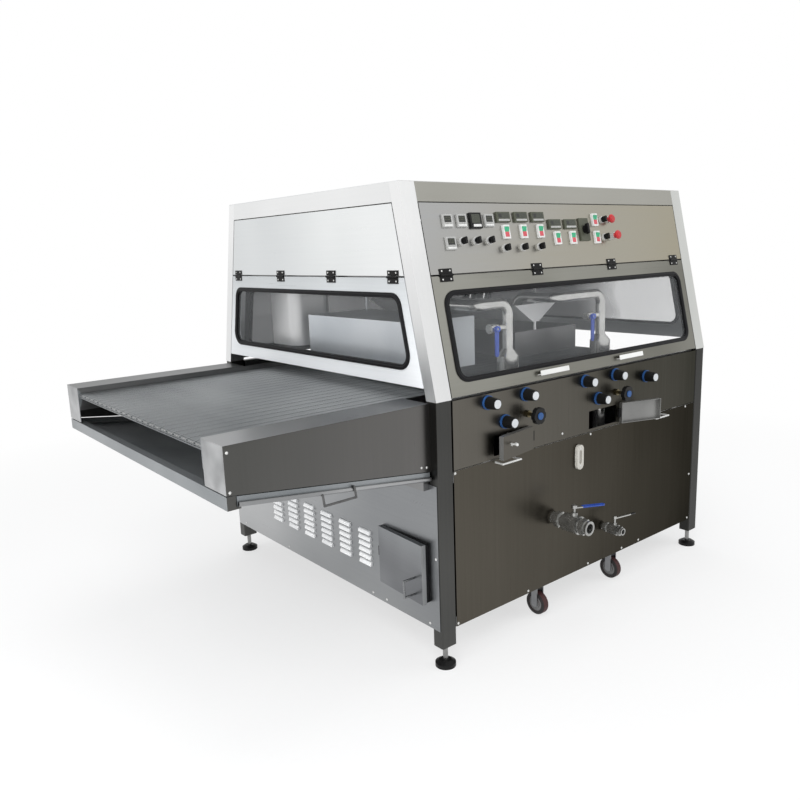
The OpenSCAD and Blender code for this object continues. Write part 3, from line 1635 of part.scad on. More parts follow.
main_frame();
sheet_panels();
control_panel();
front_middle_panel();
front_lower_panel();
left_lower_panel();
levelling_feet();
castor_forks();
conveyor_frame();
wire_belt();
chocolate_tank();
pipework();
coating_head();
panel_instruments();
level_gauge();
door_hinges();
fixed_windows();
front_door();
front_window();
left_door();
left_window();
front_hatch(group_xs[0], hatch_open_1);  // front_hatch_1
front_hatch(group_xs[1], hatch_open_2);  // front_hatch_2
end_hatch();
drip_tray();
nose_roller();
drive_shaft();
front_wheels();
rear_wheels();
main_switch_lever();
drain_lever();
sample_lever();
handwheel(group_xs[0]);  // handwheel_1
handwheel(group_xs[1]);  // handwheel_2
riser_lever_at(riser_xs[0]);  // riser_lever_1
riser_lever_at(riser_xs[1]);  // riser_lever_2
mushroom_button(button_places[0], collar_hs[0]);  // mushroom_button_1
mushroom_button(button_places[1], collar_hs[1]);  // mushroom_button_2
for (i = [1 : 7])
    rocker(rocker_places[i - 1]);
for (i = [1 : 8])
    selector(selector_places[i - 1]);
for (i = [1 : 7])
    knob(knob_places[i - 1]);
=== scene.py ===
import math

import bmesh
import bpy
from mathutils import Matrix, Vector


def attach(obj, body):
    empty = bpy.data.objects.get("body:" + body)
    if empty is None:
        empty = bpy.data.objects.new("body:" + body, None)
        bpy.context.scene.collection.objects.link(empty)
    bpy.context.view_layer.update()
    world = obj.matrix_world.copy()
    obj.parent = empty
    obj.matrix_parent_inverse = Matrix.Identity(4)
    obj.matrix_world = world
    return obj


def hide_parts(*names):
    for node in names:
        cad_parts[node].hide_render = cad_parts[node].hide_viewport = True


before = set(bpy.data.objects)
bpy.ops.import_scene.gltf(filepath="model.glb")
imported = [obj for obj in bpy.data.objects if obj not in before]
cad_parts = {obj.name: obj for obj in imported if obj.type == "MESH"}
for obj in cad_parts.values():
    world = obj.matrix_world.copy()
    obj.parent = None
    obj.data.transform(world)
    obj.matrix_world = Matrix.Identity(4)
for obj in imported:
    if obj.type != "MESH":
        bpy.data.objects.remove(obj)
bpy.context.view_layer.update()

# The view: the machine stands on a plain pale floor, seen from the infeed corner at eye height.
# Sizes below are millimetres in the cabinet's own frame: X from its infeed end face, Y from its
# front face, Z from the floor. The machine's frame has its origin under the middle of the whole.
CAB_L, CAB_D, CAB_H = 1794.0, 1626.0, 1805.0
MIDDLE = Vector((501.0, 727.25, 0.0))
EYE = (-1699.3, -1912.4, 1569.6)


def at(x, y, z):
    """Machine point, in metres, of a place in the cabinet's frame."""
    return (Vector((x, y, z)) - MIDDLE) / 1000


def in_cabinet(point):
    """Place in the cabinet's frame of a machine point."""
    return Vector(point) * 1000 + MIDDLE


eye = bpy.data.cameras.new("eye")
eye.sensor_width = 36.0
eye.lens = 33.4976
eye.clip_start, eye.clip_end = 0.05, 60.0
right = Vector((0.77442, -0.63170, -0.03522))
down = Vector((-0.15239, -0.13221, -0.97944))
ahead = Vector((0.61405, 0.76386, -0.19865))
eye_object = bpy.data.objects.new("eye", eye)
turn = Matrix((right, -down, -ahead)).transposed().to_4x4()
eye_object.matrix_world = Matrix.Translation(at(*EYE)) @ turn
bpy.context.scene.collection.objects.link(eye_object)
bpy.context.scene.camera = eye_object
bpy.context.scene.view_settings.view_transform = "Standard"


class Value:
    """A socket of a finish. Sums and products of values add Math nodes to that finish."""

    def __init__(self, finish, socket):
        self.finish, self.socket = finish, socket

    def maths(self, operation, first, second=0.0):
        return self.finish.node("Math", {"operation": operation}, {0: first, 1: second})

    def __add__(self, other):
        return self.maths("ADD", self, other)

    def __radd__(self, other):
        return self.maths("ADD", other, self)

    def __sub__(self, other):
        return self.maths("SUBTRACT", self, other)

    def __rsub__(self, other):
        return self.maths("SUBTRACT", other, self)

    def __mul__(self, other):
        return self.maths("MULTIPLY", self, other)

    def __rmul__(self, other):
        return self.maths("MULTIPLY", other, self)

    def above(self, other):
        return self.maths("GREATER_THAN", self, other)

    def most(self, other):
        return self.maths("MAXIMUM", self, other)


class Finish:
    """A procedural finish: its constants sit on the shader, what varies is fed to it."""

    def __init__(self, name, tree=None, **constants):
        if tree is None:
            self.material = bpy.data.materials.new(name)
            self.material.use_nodes = True
            tree = self.material.node_tree
        self.tree = tree
        self.shader = tree.nodes.get("Principled BSDF")
        for key, value in constants.items():
            self.shader.inputs[key.replace("_", " ").title().replace("Ior", "IOR")].default_value = value

    def node(self, kind, settings=None, inputs=None, out=0):
        made = self.tree.nodes.new("ShaderNode" + kind)
        for key, value in (settings or {}).items():
            if key == "stops":
                ramp = made.color_ramp.elements
                while len(ramp) < len(value):
                    ramp.new(0.5)
                for element, (place, colour) in zip(ramp, value):
                    element.position = place
                    element.color = (*colour, 1.0)
            else:
                setattr(made, key, value)
        for key, value in (inputs or {}).items():
            self.link(made.inputs[key], value)
        return Value(self, made.outputs[out])

    def link(self, socket, value):
        if isinstance(value, Value):
            self.tree.links.new(value.socket, socket)
        else:
            socket.default_value = value

    def feed(self, **values):
        for key, value in values.items():
            self.link(self.shader.inputs[key.replace("_", " ").title()], value)

    def place(self):
        return self.node("TexCoord", out="Object")

    def along(self, axis):
        return self.node("SeparateXYZ", inputs={0: self.place()}, out=axis)

    def stretched(self, scale):
        return self.node("VectorMath", {"operation": "MULTIPLY"}, {0: self.place(), 1: scale})

    def noise(self, scale, detail=3.0, rough=0.5):
        vector = self.stretched(scale) if isinstance(scale, tuple) else self.place()
        size = 1.0 if isinstance(scale, tuple) else scale
        return self.node("TexNoise", None,
                         {"Vector": vector, "Scale": size, "Detail": detail, "Roughness": rough})

    def blend(self, amount, low, high):
        low, high = [(*c, 1.0) if isinstance(c, tuple) else c for c in (low, high)]
        return self.node("Mix", {"data_type": "RGBA"}, {0: amount, 6: low, 7: high}, out=2)

    def clamp(self, value, low, high):
        return self.node("MapRange", None, {0: value, 1: low, 2: high, 3: 0.0, 4: 1.0})

    def bump(self, height, strength, depth):
        return self.node("Bump", None, {"Strength": strength, "Distance": depth, "Height": height})

    def seen(self):
        """One for rays of the eye, straight, off a mirror or through glass, and nothing for the others."""
        rays = self.node("LightPath").socket.node.outputs
        straight, mirrored, through = [Value(self, rays["Is %s Ray" % kind])
                                       for kind in ("Camera", "Glossy", "Transmission")]
        return straight.most(mirrored).most(through)


FLOOR_HALF, CORNERS = 30.0, ((-1, -1), (1, -1), (1, 1), (-1, 1))
GLOW_NEAR, GLOW_FIRST, GLOW_LAST = 0.64, 1.6, 4.5
FLOOR_LOW, FLOOR_HIGH = (0.86, 0.86, 0.86), (0.90, 0.90, 0.90)
ROOM_GREY, WHITE = (0.52, 0.53, 0.54), (1.0, 1.0, 1.0)
floor_mesh = bpy.data.meshes.new("floor")
floor_mesh.from_pydata([(FLOOR_HALF * x, FLOOR_HALF * y, 0.0) for x, y in CORNERS], [], [(0, 1, 2, 3)])
floor = bpy.data.objects.new("floor", floor_mesh)
bpy.context.scene.collection.objects.link(floor)
pale = Finish("pale_floor", Roughness=0.8)
speckle = pale.noise(40.0, 2.0)
pale.feed(Base_Color=pale.blend(speckle, FLOOR_LOW, FLOOR_HIGH))
distance = pale.node("VectorMath", {"operation": "LENGTH"}, {0: pale.place()}, out="Value")
far = pale.clamp(distance, GLOW_FIRST, GLOW_LAST)
glow = pale.seen() * (far * (1.0 - GLOW_NEAR) + GLOW_NEAR)
shine = pale.node("Emission", None, {"Color": (*WHITE, 1.0), "Strength": 1.0})
sheet = pale.node("MixShader", None, {0: glow, 1: Value(pale, pale.shader.outputs[0]), 2: shine})
pale.link(pale.tree.nodes["Material Output"].inputs["Surface"], sheet)
floor_mesh.materials.append(pale.material)

world = bpy.data.worlds.new("studio")
bpy.context.scene.world = world
world.use_nodes = True
sky = Finish("studio", world.node_tree)
sky.link(world.node_tree.nodes["Background"].inputs["Color"], sky.blend(sky.seen(), ROOM_GREY, WHITE))


def lamp(name, place, target, size, watts):
    """Round soft lamp at a place, turned to a target, in metres. Metal mirrors the room and not the lamp."""
    light = bpy.data.lights.new(name, "AREA")
    light.shape, light.size, light.energy = "DISK", size, watts
    made = bpy.data.objects.new(name, light)
    made.location = place
    made.visible_glossy = False
    made.rotation_mode = "QUATERNION"
    made.rotation_quaternion = (Vector(target) - Vector(place)).to_track_quat("-Z", "Y")
    bpy.context.scene.collection.objects.link(made)


lamp("key", (-3.2, -3.4, 4.4), (0.2, 0.0, 0.9), 3.0, 135.0)
lamp("fill", (3.6, -3.8, 3.0), (0.4, 0.0, 0.8), 3.0, 55.0)
lamp("top", (0.3, 0.4, 5.2), (0.3, 0.2, 1.0), 4.0, 110.0)
lamp("side", (-3.4, -0.9, 0.9), (-0.5, -0.1, 0.45), 2.0, 45.0)

# The welded skeleton: stainless posts, upright to the waist and leaning in above it, header bars
# under the roof and square tube inside. The posts and headers are one steel in lit and shaded copies:
# the leaning posts and the infeed end's header are painted light, the upright posts painted shade.
WAIST, SETBACK = 1035.0, 172.0
POST_W, POST_D, HEADER_H = 75.0, 54.0, 74.0
UPRIGHT, LEVEL, DEEP = (90.0, 90.0, 2.0), (2.0, 90.0, 90.0), (90.0, 2.0, 90.0)
GRAIN_DEPTH = 0.0004


def brushed(name, low, high, grain, cloud=1.3, rough=0.26, metal=1.0):
    """Stainless sheet ground one way: fine streaks over slow changes of tone."""
    fine = 0.25
    steel = Finish(name, Metallic=metal)
    streak = steel.noise(grain, 4.0, 0.62)
    slow = steel.clamp(steel.noise(cloud, 2.0), 0.3, 0.7)
    steel.feed(Base_Color=steel.blend(streak * fine + slow * (1.0 - fine), low, high),
               Roughness=streak * 0.16 + rough,
               Normal=steel.bump(streak, 0.12, GRAIN_DEPTH))
    return steel.material


def dress(node, cover, *patches):
    """Puts a finish on a node, and others on the faces that their tests pick, in cabinet millimetres."""
    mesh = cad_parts[node].data
    mesh.materials.clear()
    for finish in (cover, *(patch[0] for patch in patches)):
        mesh.materials.append(finish)
    for face in mesh.polygons:
        centre = in_cabinet(face.center)
        face.material_index = 0
        for i, (finish, test) in enumerate(patches, 1):
            if test(centre, face.normal):
                face.material_index = i


def on_post(p):
    """Whether a place is in one of the corner posts, which lean in above the waist."""
    lean_in = SETBACK * max(0.0, p.z - WAIST) / (CAB_H - WAIST)
    at_end = p.x < POST_W or p.x > CAB_L - POST_W
    return at_end and (p.y < lean_in + POST_D or p.y > CAB_D - lean_in - POST_D)


def in_header(p):
    return p.z > CAB_H - HEADER_H and not on_post(p)


# Painted light and shade: the leaning posts pale, those at the outfeed end less so; the upright posts dark,
# those at the outfeed end darkest; the infeed end's header paler than the others.
post_painted_light = brushed("post_painted_light", (0.68, 0.69, 0.69), (0.97, 0.97, 0.97), UPRIGHT, 1.1)
post_painted_half_light = brushed("post_painted_half_light", (0.54, 0.55, 0.53), (0.70, 0.71, 0.69), UPRIGHT, 1.1)
post_painted_shade = brushed("post_painted_shade", (0.050, 0.050, 0.048), (0.108, 0.108, 0.103), UPRIGHT, 1.0)
post_painted_deep_shade = brushed("post_painted_deep_shade", (0.016, 0.016, 0.015), (0.044, 0.044, 0.041), UPRIGHT, 1.0)
header_warm_painted_shade = brushed("header_warm_painted_shade", (0.34, 0.335, 0.30), (0.47, 0.465, 0.43), LEVEL, 0.9)
header_end_painted_light = brushed("header_end_painted_light", (0.74, 0.75, 0.75), (0.94, 0.94, 0.94), DEEP, 0.9)
tube_grey = brushed("tube_grey", (0.22, 0.22, 0.22), (0.36, 0.36, 0.36), LEVEL, 1.4)
dress("main_frame", tube_grey,
      (post_painted_shade, lambda p, n: on_post(p) and p.z < WAIST),
      (post_painted_deep_shade, lambda p, n: on_post(p) and p.z < WAIST and p.x > CAB_L - POST_W),
      (post_painted_light, lambda p, n: on_post(p) and p.z >= WAIST),
      (post_painted_half_light, lambda p, n: on_post(p) and p.z >= WAIST and p.x > CAB_L - POST_W),
      (header_warm_painted_shade, lambda p, n: in_header(p)),
      (header_end_painted_light, lambda p, n: in_header(p) and p.x < POST_W))

# Cladding: bent stainless sheets, screwed to the skeleton, in lit and shaded copies of one steel. The
# upper end panels and the roof are painted light and the rear sheets painted shade; the front ones
# below the waist are painted dark and warm, a painted reflection of the room, lighter towards the infeed.
ROOF_T, END_SHEET = 3.0, 30.0
BOW_PROUD, LOWER_TOP, FACING = 0.3, 765.0, 0.9


def cloudy(name, dark, mid, light, grain, cloud, fade=None, metal=1.0, edge=1.0):
    """Ground sheet painted with a room's soft reflection: broad patches of tone, and a fade along one axis.
    """
    fine = 0.16
    steel = Finish(name, Metallic=metal, Specular_Tint=(edge, edge, edge, 1.0))
    streak = steel.noise(grain, 4.0, 0.6)
    # Painted reflection: the broad patches, and the fade below, stand in for the room mirrored in the sheet.
    tone = steel.clamp(steel.noise(cloud, 1.5, 0.4), 0.32, 0.68)
    if fade:
        axis, first, last, share = fade
        tone = tone * (1.0 - share) + steel.clamp(steel.along(axis), first, last) * share
    stops = [(0.12, dark), (0.5, mid), (0.88, light)]
    steel.feed(Base_Color=steel.node("ValToRGB", {"stops": stops}, {0: tone * (1.0 - fine) + streak * fine}),
               Roughness=streak * 0.18 + 0.22,
               Normal=steel.bump(streak, 0.10, GRAIN_DEPTH))
    return steel.material


def polished(name, low, high, mark_scale=18.0, rough=0.12, metal=1.0):
    """Bright round stock: near-mirror, with faint handling marks. Where their tones lie far apart, as on the
    valve bodies, the marks are painted reflections.
    """
    steel = Finish(name, Metallic=metal)
    marks_and_sheen = steel.noise(mark_scale, 4.0, 0.6)
    steel.feed(Base_Color=steel.blend(marks_and_sheen, low, high),
               Roughness=marks_and_sheen * 0.18 + rough,
               Normal=steel.bump(steel.noise(60.0, 3.0), 0.05, 0.0006))
    return steel.material


def bows_and_lit_fold(p, n):
    """The bow handles, which stand out of the lower panel, and the folded edge above them, which faces up and
    takes the bows' bright steel as a painted highlight.
    """
    return p.y < -BOW_PROUD or (n.z > FACING and p.z > LOWER_TOP)


# Painted light on the upper end panels, fading darker towards the rear.
end_sheet_painted_light = cloudy("end_sheet_painted_light", (0.66, 0.68, 0.69), (0.80, 0.82, 0.82), (0.96, 0.97, 0.97),
                   DEEP, (0.0, 1.6, 1.1), ("Y", 0.75, -0.55, 0.6))
# Painted reflection: the front sheets are dark and warm, lighter towards the infeed; the rear sheets below
# are painted shade and the roof painted light.
front_middle = cloudy("front_middle", (0.022, 0.022, 0.015), (0.086, 0.081, 0.068), (0.140, 0.131, 0.115),
                      UPRIGHT, (1.7, 1.0, 1.3), ("X", 1.30, -0.20, 0.82), edge=0.62)
front_lower = cloudy("front_lower", (0.010, 0.009, 0.006), (0.052, 0.047, 0.037), (0.100, 0.091, 0.075),
                     UPRIGHT, (1.5, 1.0, 1.1), ("X", 1.30, -0.20, 0.82), edge=0.5)
# Bright steel of the bow handles; on the lower panel's upward fold it is a painted highlight.
bow_steel_and_fold_highlight = polished("bow_steel_and_fold_highlight", (0.55, 0.55, 0.54), (0.82, 0.82, 0.80), 40.0, 0.2, 0.45)
rear_sheet_painted_shade = cloudy("rear_sheet_painted_shade", (0.16, 0.16, 0.155), (0.24, 0.24, 0.235), (0.36, 0.36, 0.355),
                   UPRIGHT, (1.2, 1.0, 1.2))
roof_painted_light = cloudy("roof_painted_light", (0.55, 0.55, 0.55), (0.66, 0.66, 0.66), (0.78, 0.78, 0.78),
                    LEVEL, (1.2, 1.2, 1.0))
dress("sheet_panels", rear_sheet_painted_shade,
      (roof_painted_light, lambda p, n: p.z > CAB_H - ROOF_T),
      (end_sheet_painted_light, lambda p, n: (p.x < END_SHEET or p.x > CAB_L - END_SHEET) and p.z > WAIST))
dress("front_middle_panel", front_middle)
dress("front_lower_panel", front_lower, (bow_steel_and_fold_highlight, bows_and_lit_fold))

# The end panel under the belt: rows of louvres are pressed out of the stainless sheet and open
# downwards. They let air reach the drives. Their hoods and lips are painted pale as painted highlights,
# and the sheet round them is painted shade, lighter towards the rear.
LOUVRE_COLS, LOUVRE_ROWS, LOUVRE_W, LOUVRE_PROUD = 6, 6, 77.0, 0.2
LOUVRE_PITCH, LOUVRE_RISE, LOUVRE_Y, LOUVRE_Z = 143.0, 27.0, 461.0, 288.0
HOOD_OUT, HOOD_UP, HOOD_T, HOOD_STEPS, HOOD_OVER = 9.6, 18.0, 0.8, 8, 0.6


def finished(name, body, finishes, bm, smooth=35.0):
    """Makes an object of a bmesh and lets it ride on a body."""
    mesh = bpy.data.meshes.new(name)
    bm.to_mesh(mesh)
    bm.free()
    for face in mesh.polygons:
        face.use_smooth = True
    mesh.set_sharp_from_angle(angle=math.radians(smooth))
    for finish in finishes:
        mesh.materials.append(finish)
    made = bpy.data.objects.new(name, mesh)
    bpy.context.scene.collection.objects.link(made)
    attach(made, body)
    return made


def prism(bm, outline, y0, y1):
    """Closed prism of an outline of X and Z places between two depths, in cabinet millimetres."""
    first, last = [[bm.verts.new(at(x, y, z)) for x, z in outline] for y in (y0, y1)]
    faces = [bm.faces.new(first), bm.faces.new(last[::-1])]
    for i in range(len(outline)):
        j = (i + 1) % len(outline)
        faces.append(bm.faces.new((first[j], first[i], last[i], last[j])))
    bmesh.ops.recalc_face_normals(bm, faces=faces)


def hood_arc(out, up, z):
    """Places from a hood's lip round to the sheet."""
    turns = (math.pi / 2 * i / HOOD_STEPS for i in range(HOOD_STEPS + 1))
    return [(-out * math.cos(a), z + up * math.sin(a)) for a in turns]


# Painted shade on the sheet under the belt, lighter towards the rear; painted highlight on the louvre hoods
# and lips.
end_low_painted_shade = cloudy("end_low_painted_shade", (0.24, 0.248, 0.258), (0.35, 0.358, 0.365), (0.48, 0.485, 0.49),
                  DEEP, (0.0, 1.4, 1.5), ("Y", -0.7, 0.85, 0.62))
louvre_painted_highlight = brushed("louvre_painted_highlight", (0.80, 0.81, 0.82), (0.95, 0.95, 0.95), DEEP, 4.0, 0.3, 0.35)
dress("left_lower_panel", end_low_painted_shade, (louvre_painted_highlight, lambda p, n: p.x < -LOUVRE_PROUD))
bm = bmesh.new()
for col in range(LOUVRE_COLS):
    y0 = LOUVRE_Y - LOUVRE_W / 2 + col * LOUVRE_PITCH - HOOD_OVER
    y1 = y0 + LOUVRE_W + 2 * HOOD_OVER
    for row in range(LOUVRE_ROWS):
        z = LOUVRE_Z + row * LOUVRE_RISE
        outer = hood_arc(HOOD_OUT, HOOD_UP, z)
        prism(bm, outer + hood_arc(HOOD_OUT - HOOD_T, HOOD_UP - HOOD_T, z)[::-1], y0, y1)
        for end in (y0, y1):
            prism(bm, outer + [(0.0, z)], end - HOOD_T / 2, end + HOOD_T / 2)
finished("louvre_hoods", "cabinet", [louvre_painted_highlight], bm)

# The infeed conveyor: folded stainless side boxes with top flanges, bed plates that carry the
# rollers, and the drip tray, with rolled rims, that slides out underneath. The side boxes are painted
# shade and the flanges painted light; the tray is painted shade under the belt and its rims painted light.
FLANGE_LOW, RAIL_X, BOX_IN, BOX_END, TOWARDS = 1024.5, -764.0, 44.0, 3.0, 0.7
NOSE_IN, NOSE_LOW, PULL_Y = 170.0, 872.0, 39.7
RIM_Y, RIM_R, RIM_SIDES = 36.0, 0.008, 14
RIM_OUTER, RIM_INNER = (-762.0, 845.0), (-6.0, 751.0)


def bar(bm, first, last, radius, sides, ends=True):
    """Round bar between two points, in metres."""
    axis = (last - first).normalized()
    side = axis.orthogonal().normalized()
    other = axis.cross(side)
    turns = [2 * math.pi * i / sides for i in range(sides)]
    low, high = [[bm.verts.new(centre + radius * (side * math.cos(a) + other * math.sin(a))) for a in turns]
                 for centre in (first, last)]
    for i in range(sides):
        j = (i + 1) % sides
        bm.faces.new((low[i], low[j], high[j], high[i]))
    if ends:
        bm.faces.new(low[::-1])
        bm.faces.new(high)


def by_the_sides(p, depth):
    """Whether a place is within a depth of the conveyor's front or rear side."""
    return p.y < depth or p.y > CAB_D - depth


def on_nose(p, n):
    """The plates that close the side boxes towards the infeed."""
    return p.x < RAIL_X and n.x < -TOWARDS and p.z > NOSE_LOW and by_the_sides(p, NOSE_IN)


# Painted shade on the side boxes, darker towards the infeed; painted light on the flanges, lighter towards
# the front.
conveyor_side_painted_shade = cloudy("conveyor_side_painted_shade", (0.090, 0.090, 0.085), (0.118, 0.116, 0.112), (0.160, 0.155, 0.150),
                   UPRIGHT, (2.0, 1.0, 1.5), ("X", -1.25, -0.55, 0.7))
flange_painted_light = cloudy("flange_painted_light", (0.20, 0.203, 0.206), (0.31, 0.314, 0.318), (0.44, 0.447, 0.455),
                       LEVEL, (2.0, 1.0, 1.0), ("Y", 0.85, -0.68, 0.75), edge=0.7)
end_rail = brushed("end_rail", (0.19, 0.205, 0.215), (0.32, 0.335, 0.345), DEEP, 2.0, metal=0.7)
nose_plate = brushed("nose_plate", (0.22, 0.225, 0.23), (0.52, 0.525, 0.53), UPRIGHT, 9.0, metal=0.8)
bed_grey = brushed("bed_grey", (0.20, 0.20, 0.20), (0.34, 0.34, 0.34), LEVEL, 2.0)
dress("conveyor_frame", bed_grey,
      (flange_painted_light, lambda p, n: p.z > FLANGE_LOW),
      (end_rail, lambda p, n: p.x < RAIL_X and BOX_IN < p.y < CAB_D - BOX_IN),
      (conveyor_side_painted_shade, lambda p, n: p.x < BOX_END and by_the_sides(p, BOX_IN)),
      (nose_plate, on_nose))
# Painted shade on the tray under the belt, painted light on its rolled rims.
tray_painted_shade = brushed("tray_painted_shade", (0.17, 0.185, 0.195), (0.29, 0.305, 0.315), LEVEL, 2.4, metal=0.5)
tray_rim_painted_light = brushed("tray_rim_painted_light", (0.24, 0.245, 0.25), (0.42, 0.425, 0.43), LEVEL, 2.4)
pull_grey = polished("pull_grey", (0.07, 0.07, 0.07), (0.20, 0.20, 0.20), 40.0, 0.2)
dress("drip_tray", tray_painted_shade, (pull_grey, lambda p, n: p.y < PULL_Y))
bm = bmesh.new()
for y in (RIM_Y, CAB_D - RIM_Y):
    bar(bm, at(RIM_OUTER[0], y, RIM_OUTER[1]), at(RIM_INNER[0], y, RIM_INNER[1]), RIM_R, RIM_SIDES)
finished("tray_rims", "drip_tray", [tray_rim_painted_light], bm)

# The wire belt: straight stainless cross wires joined by short links in lanes, so that chocolate
# drains through. It runs round the turned nose roller and the sprockets of the drive shaft.
BELT_Z, BELT_T, BELT_GAP, BELT_HALF = 1005.0, 4.0, 0.4, 617.0
NOSE_X, NOSE_R, DRIVE_X, DRIVE_R = -780.0, 8.0, 1650.0, 50.0
WIRE_PITCH, WIRE_R, WIRE_SIDES = 7.5, 0.0019, 5
LINK_LANES, LINK_EDGE, LINK_SIDES = 23, 8.0, 4


def belt_path(pitch):
    """Places of the cross wires round both rollers."""
    r1, r2 = NOSE_R + BELT_GAP + BELT_T / 2, DRIVE_R + BELT_GAP + BELT_T / 2
    c1 = Vector((NOSE_X, BELT_Z - BELT_T / 2 - r1))
    c2 = Vector((DRIVE_X, BELT_Z - BELT_T / 2 - r2))
    tilt = 2 * math.atan2(c1.y - c2.y, c2.x - c1.x)
    run = c2.x - c1.x
    spans = [("top", run), ("drive", r2 * (math.pi - tilt)), ("under", run), ("nose", r1 * (math.pi + tilt))]
    total = sum(length for _, length in spans)
    count = round(total / pitch)
    for i in range(count):
        s = i * total / count
        for name, length in spans:
            if s < length:
                break
            s -= length
        if name == "top":
            yield c1 + Vector((s, r1))
        elif name == "under":
            start = c2 + r2 * Vector((-math.sin(tilt), -math.cos(tilt)))
            yield start + Vector((-math.cos(tilt), math.sin(tilt))) * s
        else:
            centre, r, first = (c2, r2, math.pi / 2) if name == "drive" else (c1, r1, -math.pi / 2 - tilt)
            a = first - s / r
            yield centre + r * Vector((math.cos(a), math.sin(a)))


belt_wire = Finish("belt_wire", Metallic=1.0)
rub = belt_wire.noise((30.0, 1.2, 30.0), 3.0)
band = belt_wire.clamp(belt_wire.noise((3.0, 1.4, 1.0), 2.0), 0.3, 0.7)
belt_wire.feed(Base_Color=belt_wire.blend(band * 0.6 + rub * 0.4, (0.21, 0.225, 0.235), (0.36, 0.375, 0.385)),
               Roughness=rub * 0.2 + 0.28)
BELT_FRONT, BELT_REAR = CAB_D / 2 - BELT_HALF, CAB_D / 2 + BELT_HALF
LANE_STEP = (2 * BELT_HALF - 2 * LINK_EDGE) / (LINK_LANES - 1)
bm = bmesh.new()
wires = list(belt_path(WIRE_PITCH))
for wire, after in zip(wires, wires[1:] + wires[:1]):
    bar(bm, at(wire.x, BELT_FRONT, wire.y), at(wire.x, BELT_REAR, wire.y), WIRE_R, WIRE_SIDES)
    for lane in range(LINK_LANES):
        y = BELT_FRONT + LINK_EDGE + lane * LANE_STEP
        bar(bm, at(wire.x, y, wire.y), at(after.x, y, after.y), WIRE_R, LINK_SIDES, False)
belt = finished("belt_wires", "cabinet", [belt_wire.material], bm)
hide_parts("wire_belt")

turned_steel = Finish("turned_steel", Metallic=1.0)
ring = turned_steel.noise((8.0, 220.0, 8.0), 2.0)
turned_steel.feed(Base_Color=turned_steel.blend(ring, (0.34, 0.34, 0.34), (0.58, 0.58, 0.57)),
                  Roughness=ring * 0.15 + 0.2)
dress("nose_roller", turned_steel.material)
dress("drive_shaft", turned_steel.material)

# The chocolate circuit: an open tank under the belt, two pump columns whose polished pipes rise behind
# the glass, and the coating head with its curtain boxes, trough and air column. The valves on the
# front have flat steel levers in vinyl sleeves.
VALVES_Y, TROUGH_X, TROUGH_Z, COLUMN_Y = 60.0, 600.0, 1205.0, 1100.0
tube_bright = polished("tube_bright", (0.40, 0.40, 0.39), (0.66, 0.66, 0.64), metal=0.9)
# Painted reflection: the valve bodies' wide span from near black to bright stands in for the dark bands and
# highlights mirrored in them.
valve_body = polished("valve_body", (0.10, 0.10, 0.095), (0.66, 0.66, 0.64), 30.0, 0.16, 0.9)
tank_steel = brushed("tank_steel", (0.14, 0.145, 0.15), (0.26, 0.265, 0.27), LEVEL, 1.8)
box_pale = brushed("box_pale", (0.52, 0.56, 0.60), (0.80, 0.83, 0.86), LEVEL, 2.2, 0.32)
box_dark = brushed("box_dark", (0.10, 0.10, 0.10), (0.24, 0.24, 0.24), LEVEL, 2.0)
# Painted light: the curtain boxes' faces towards the front are a paler, less metallic copy of their steel,
# lit though they stand in the hood's shade.
box_front_painted_light = brushed("box_front_painted_light", (0.62, 0.66, 0.69), (0.82, 0.85, 0.88), LEVEL, 2.2, 0.34, 0.25)
trough_white = brushed("trough_white", (0.80, 0.81, 0.81), (0.96, 0.96, 0.96), DEEP, 2.0, 0.34, 0.2)
column_steel = brushed("column_steel", (0.56, 0.56, 0.56), (0.84, 0.84, 0.84), UPRIGHT, 2.0, metal=0.7)
dress("chocolate_tank", tank_steel)
dress("pipework", tube_bright, (valve_body, lambda p, n: p.y < VALVES_Y))
dress("coating_head", box_pale,
      (box_front_painted_light, lambda p, n: n.y < -TOWARDS),
      (box_dark, lambda p, n: p.x > TROUGH_X),
      (trough_white, lambda p, n: p.x > TROUGH_X and p.z > TROUGH_Z),
      (column_steel, lambda p, n: p.y > COLUMN_Y))


def sleeved(name, low, high, grain=90.0, rough=0.34, coat=0.0, shine=0.35):
    """Moulded plastic or vinyl: a fine grain, and slow changes of tone from handling."""
    plastic = Finish(name, Coat_Weight=coat, IOR=1.48, Specular_Ior_Level=shine)
    fine = plastic.noise(grain * 9, 2.0)
    slow = plastic.noise(grain / 4, 2.0)
    plastic.feed(Base_Color=plastic.blend(slow, low, high),
                 Roughness=fine * 0.16 + rough,
                 Normal=plastic.bump(fine, 0.10, 0.0003))
    return plastic.material


def gripped(name, turn, pivot, start, steel, sleeve):
    """Flat steel lever whose outer part wears a sleeve; it points away from the front at an angle."""
    lever = Finish(name)
    x, y = at(*pivot, 0.0).xy
    reach = (lever.along("X") - x) * math.cos(turn) - (lever.along("Y") - y) * math.sin(turn)
    worn = lever.noise(60.0, 3.0)
    covered = reach.above(start / 1000)
    lever.feed(Base_Color=lever.blend(covered, steel, lever.blend(worn, *sleeve)),
               Metallic=1.0 - covered,
               Roughness=worn * 0.16 + 0.26)
    return lever.material


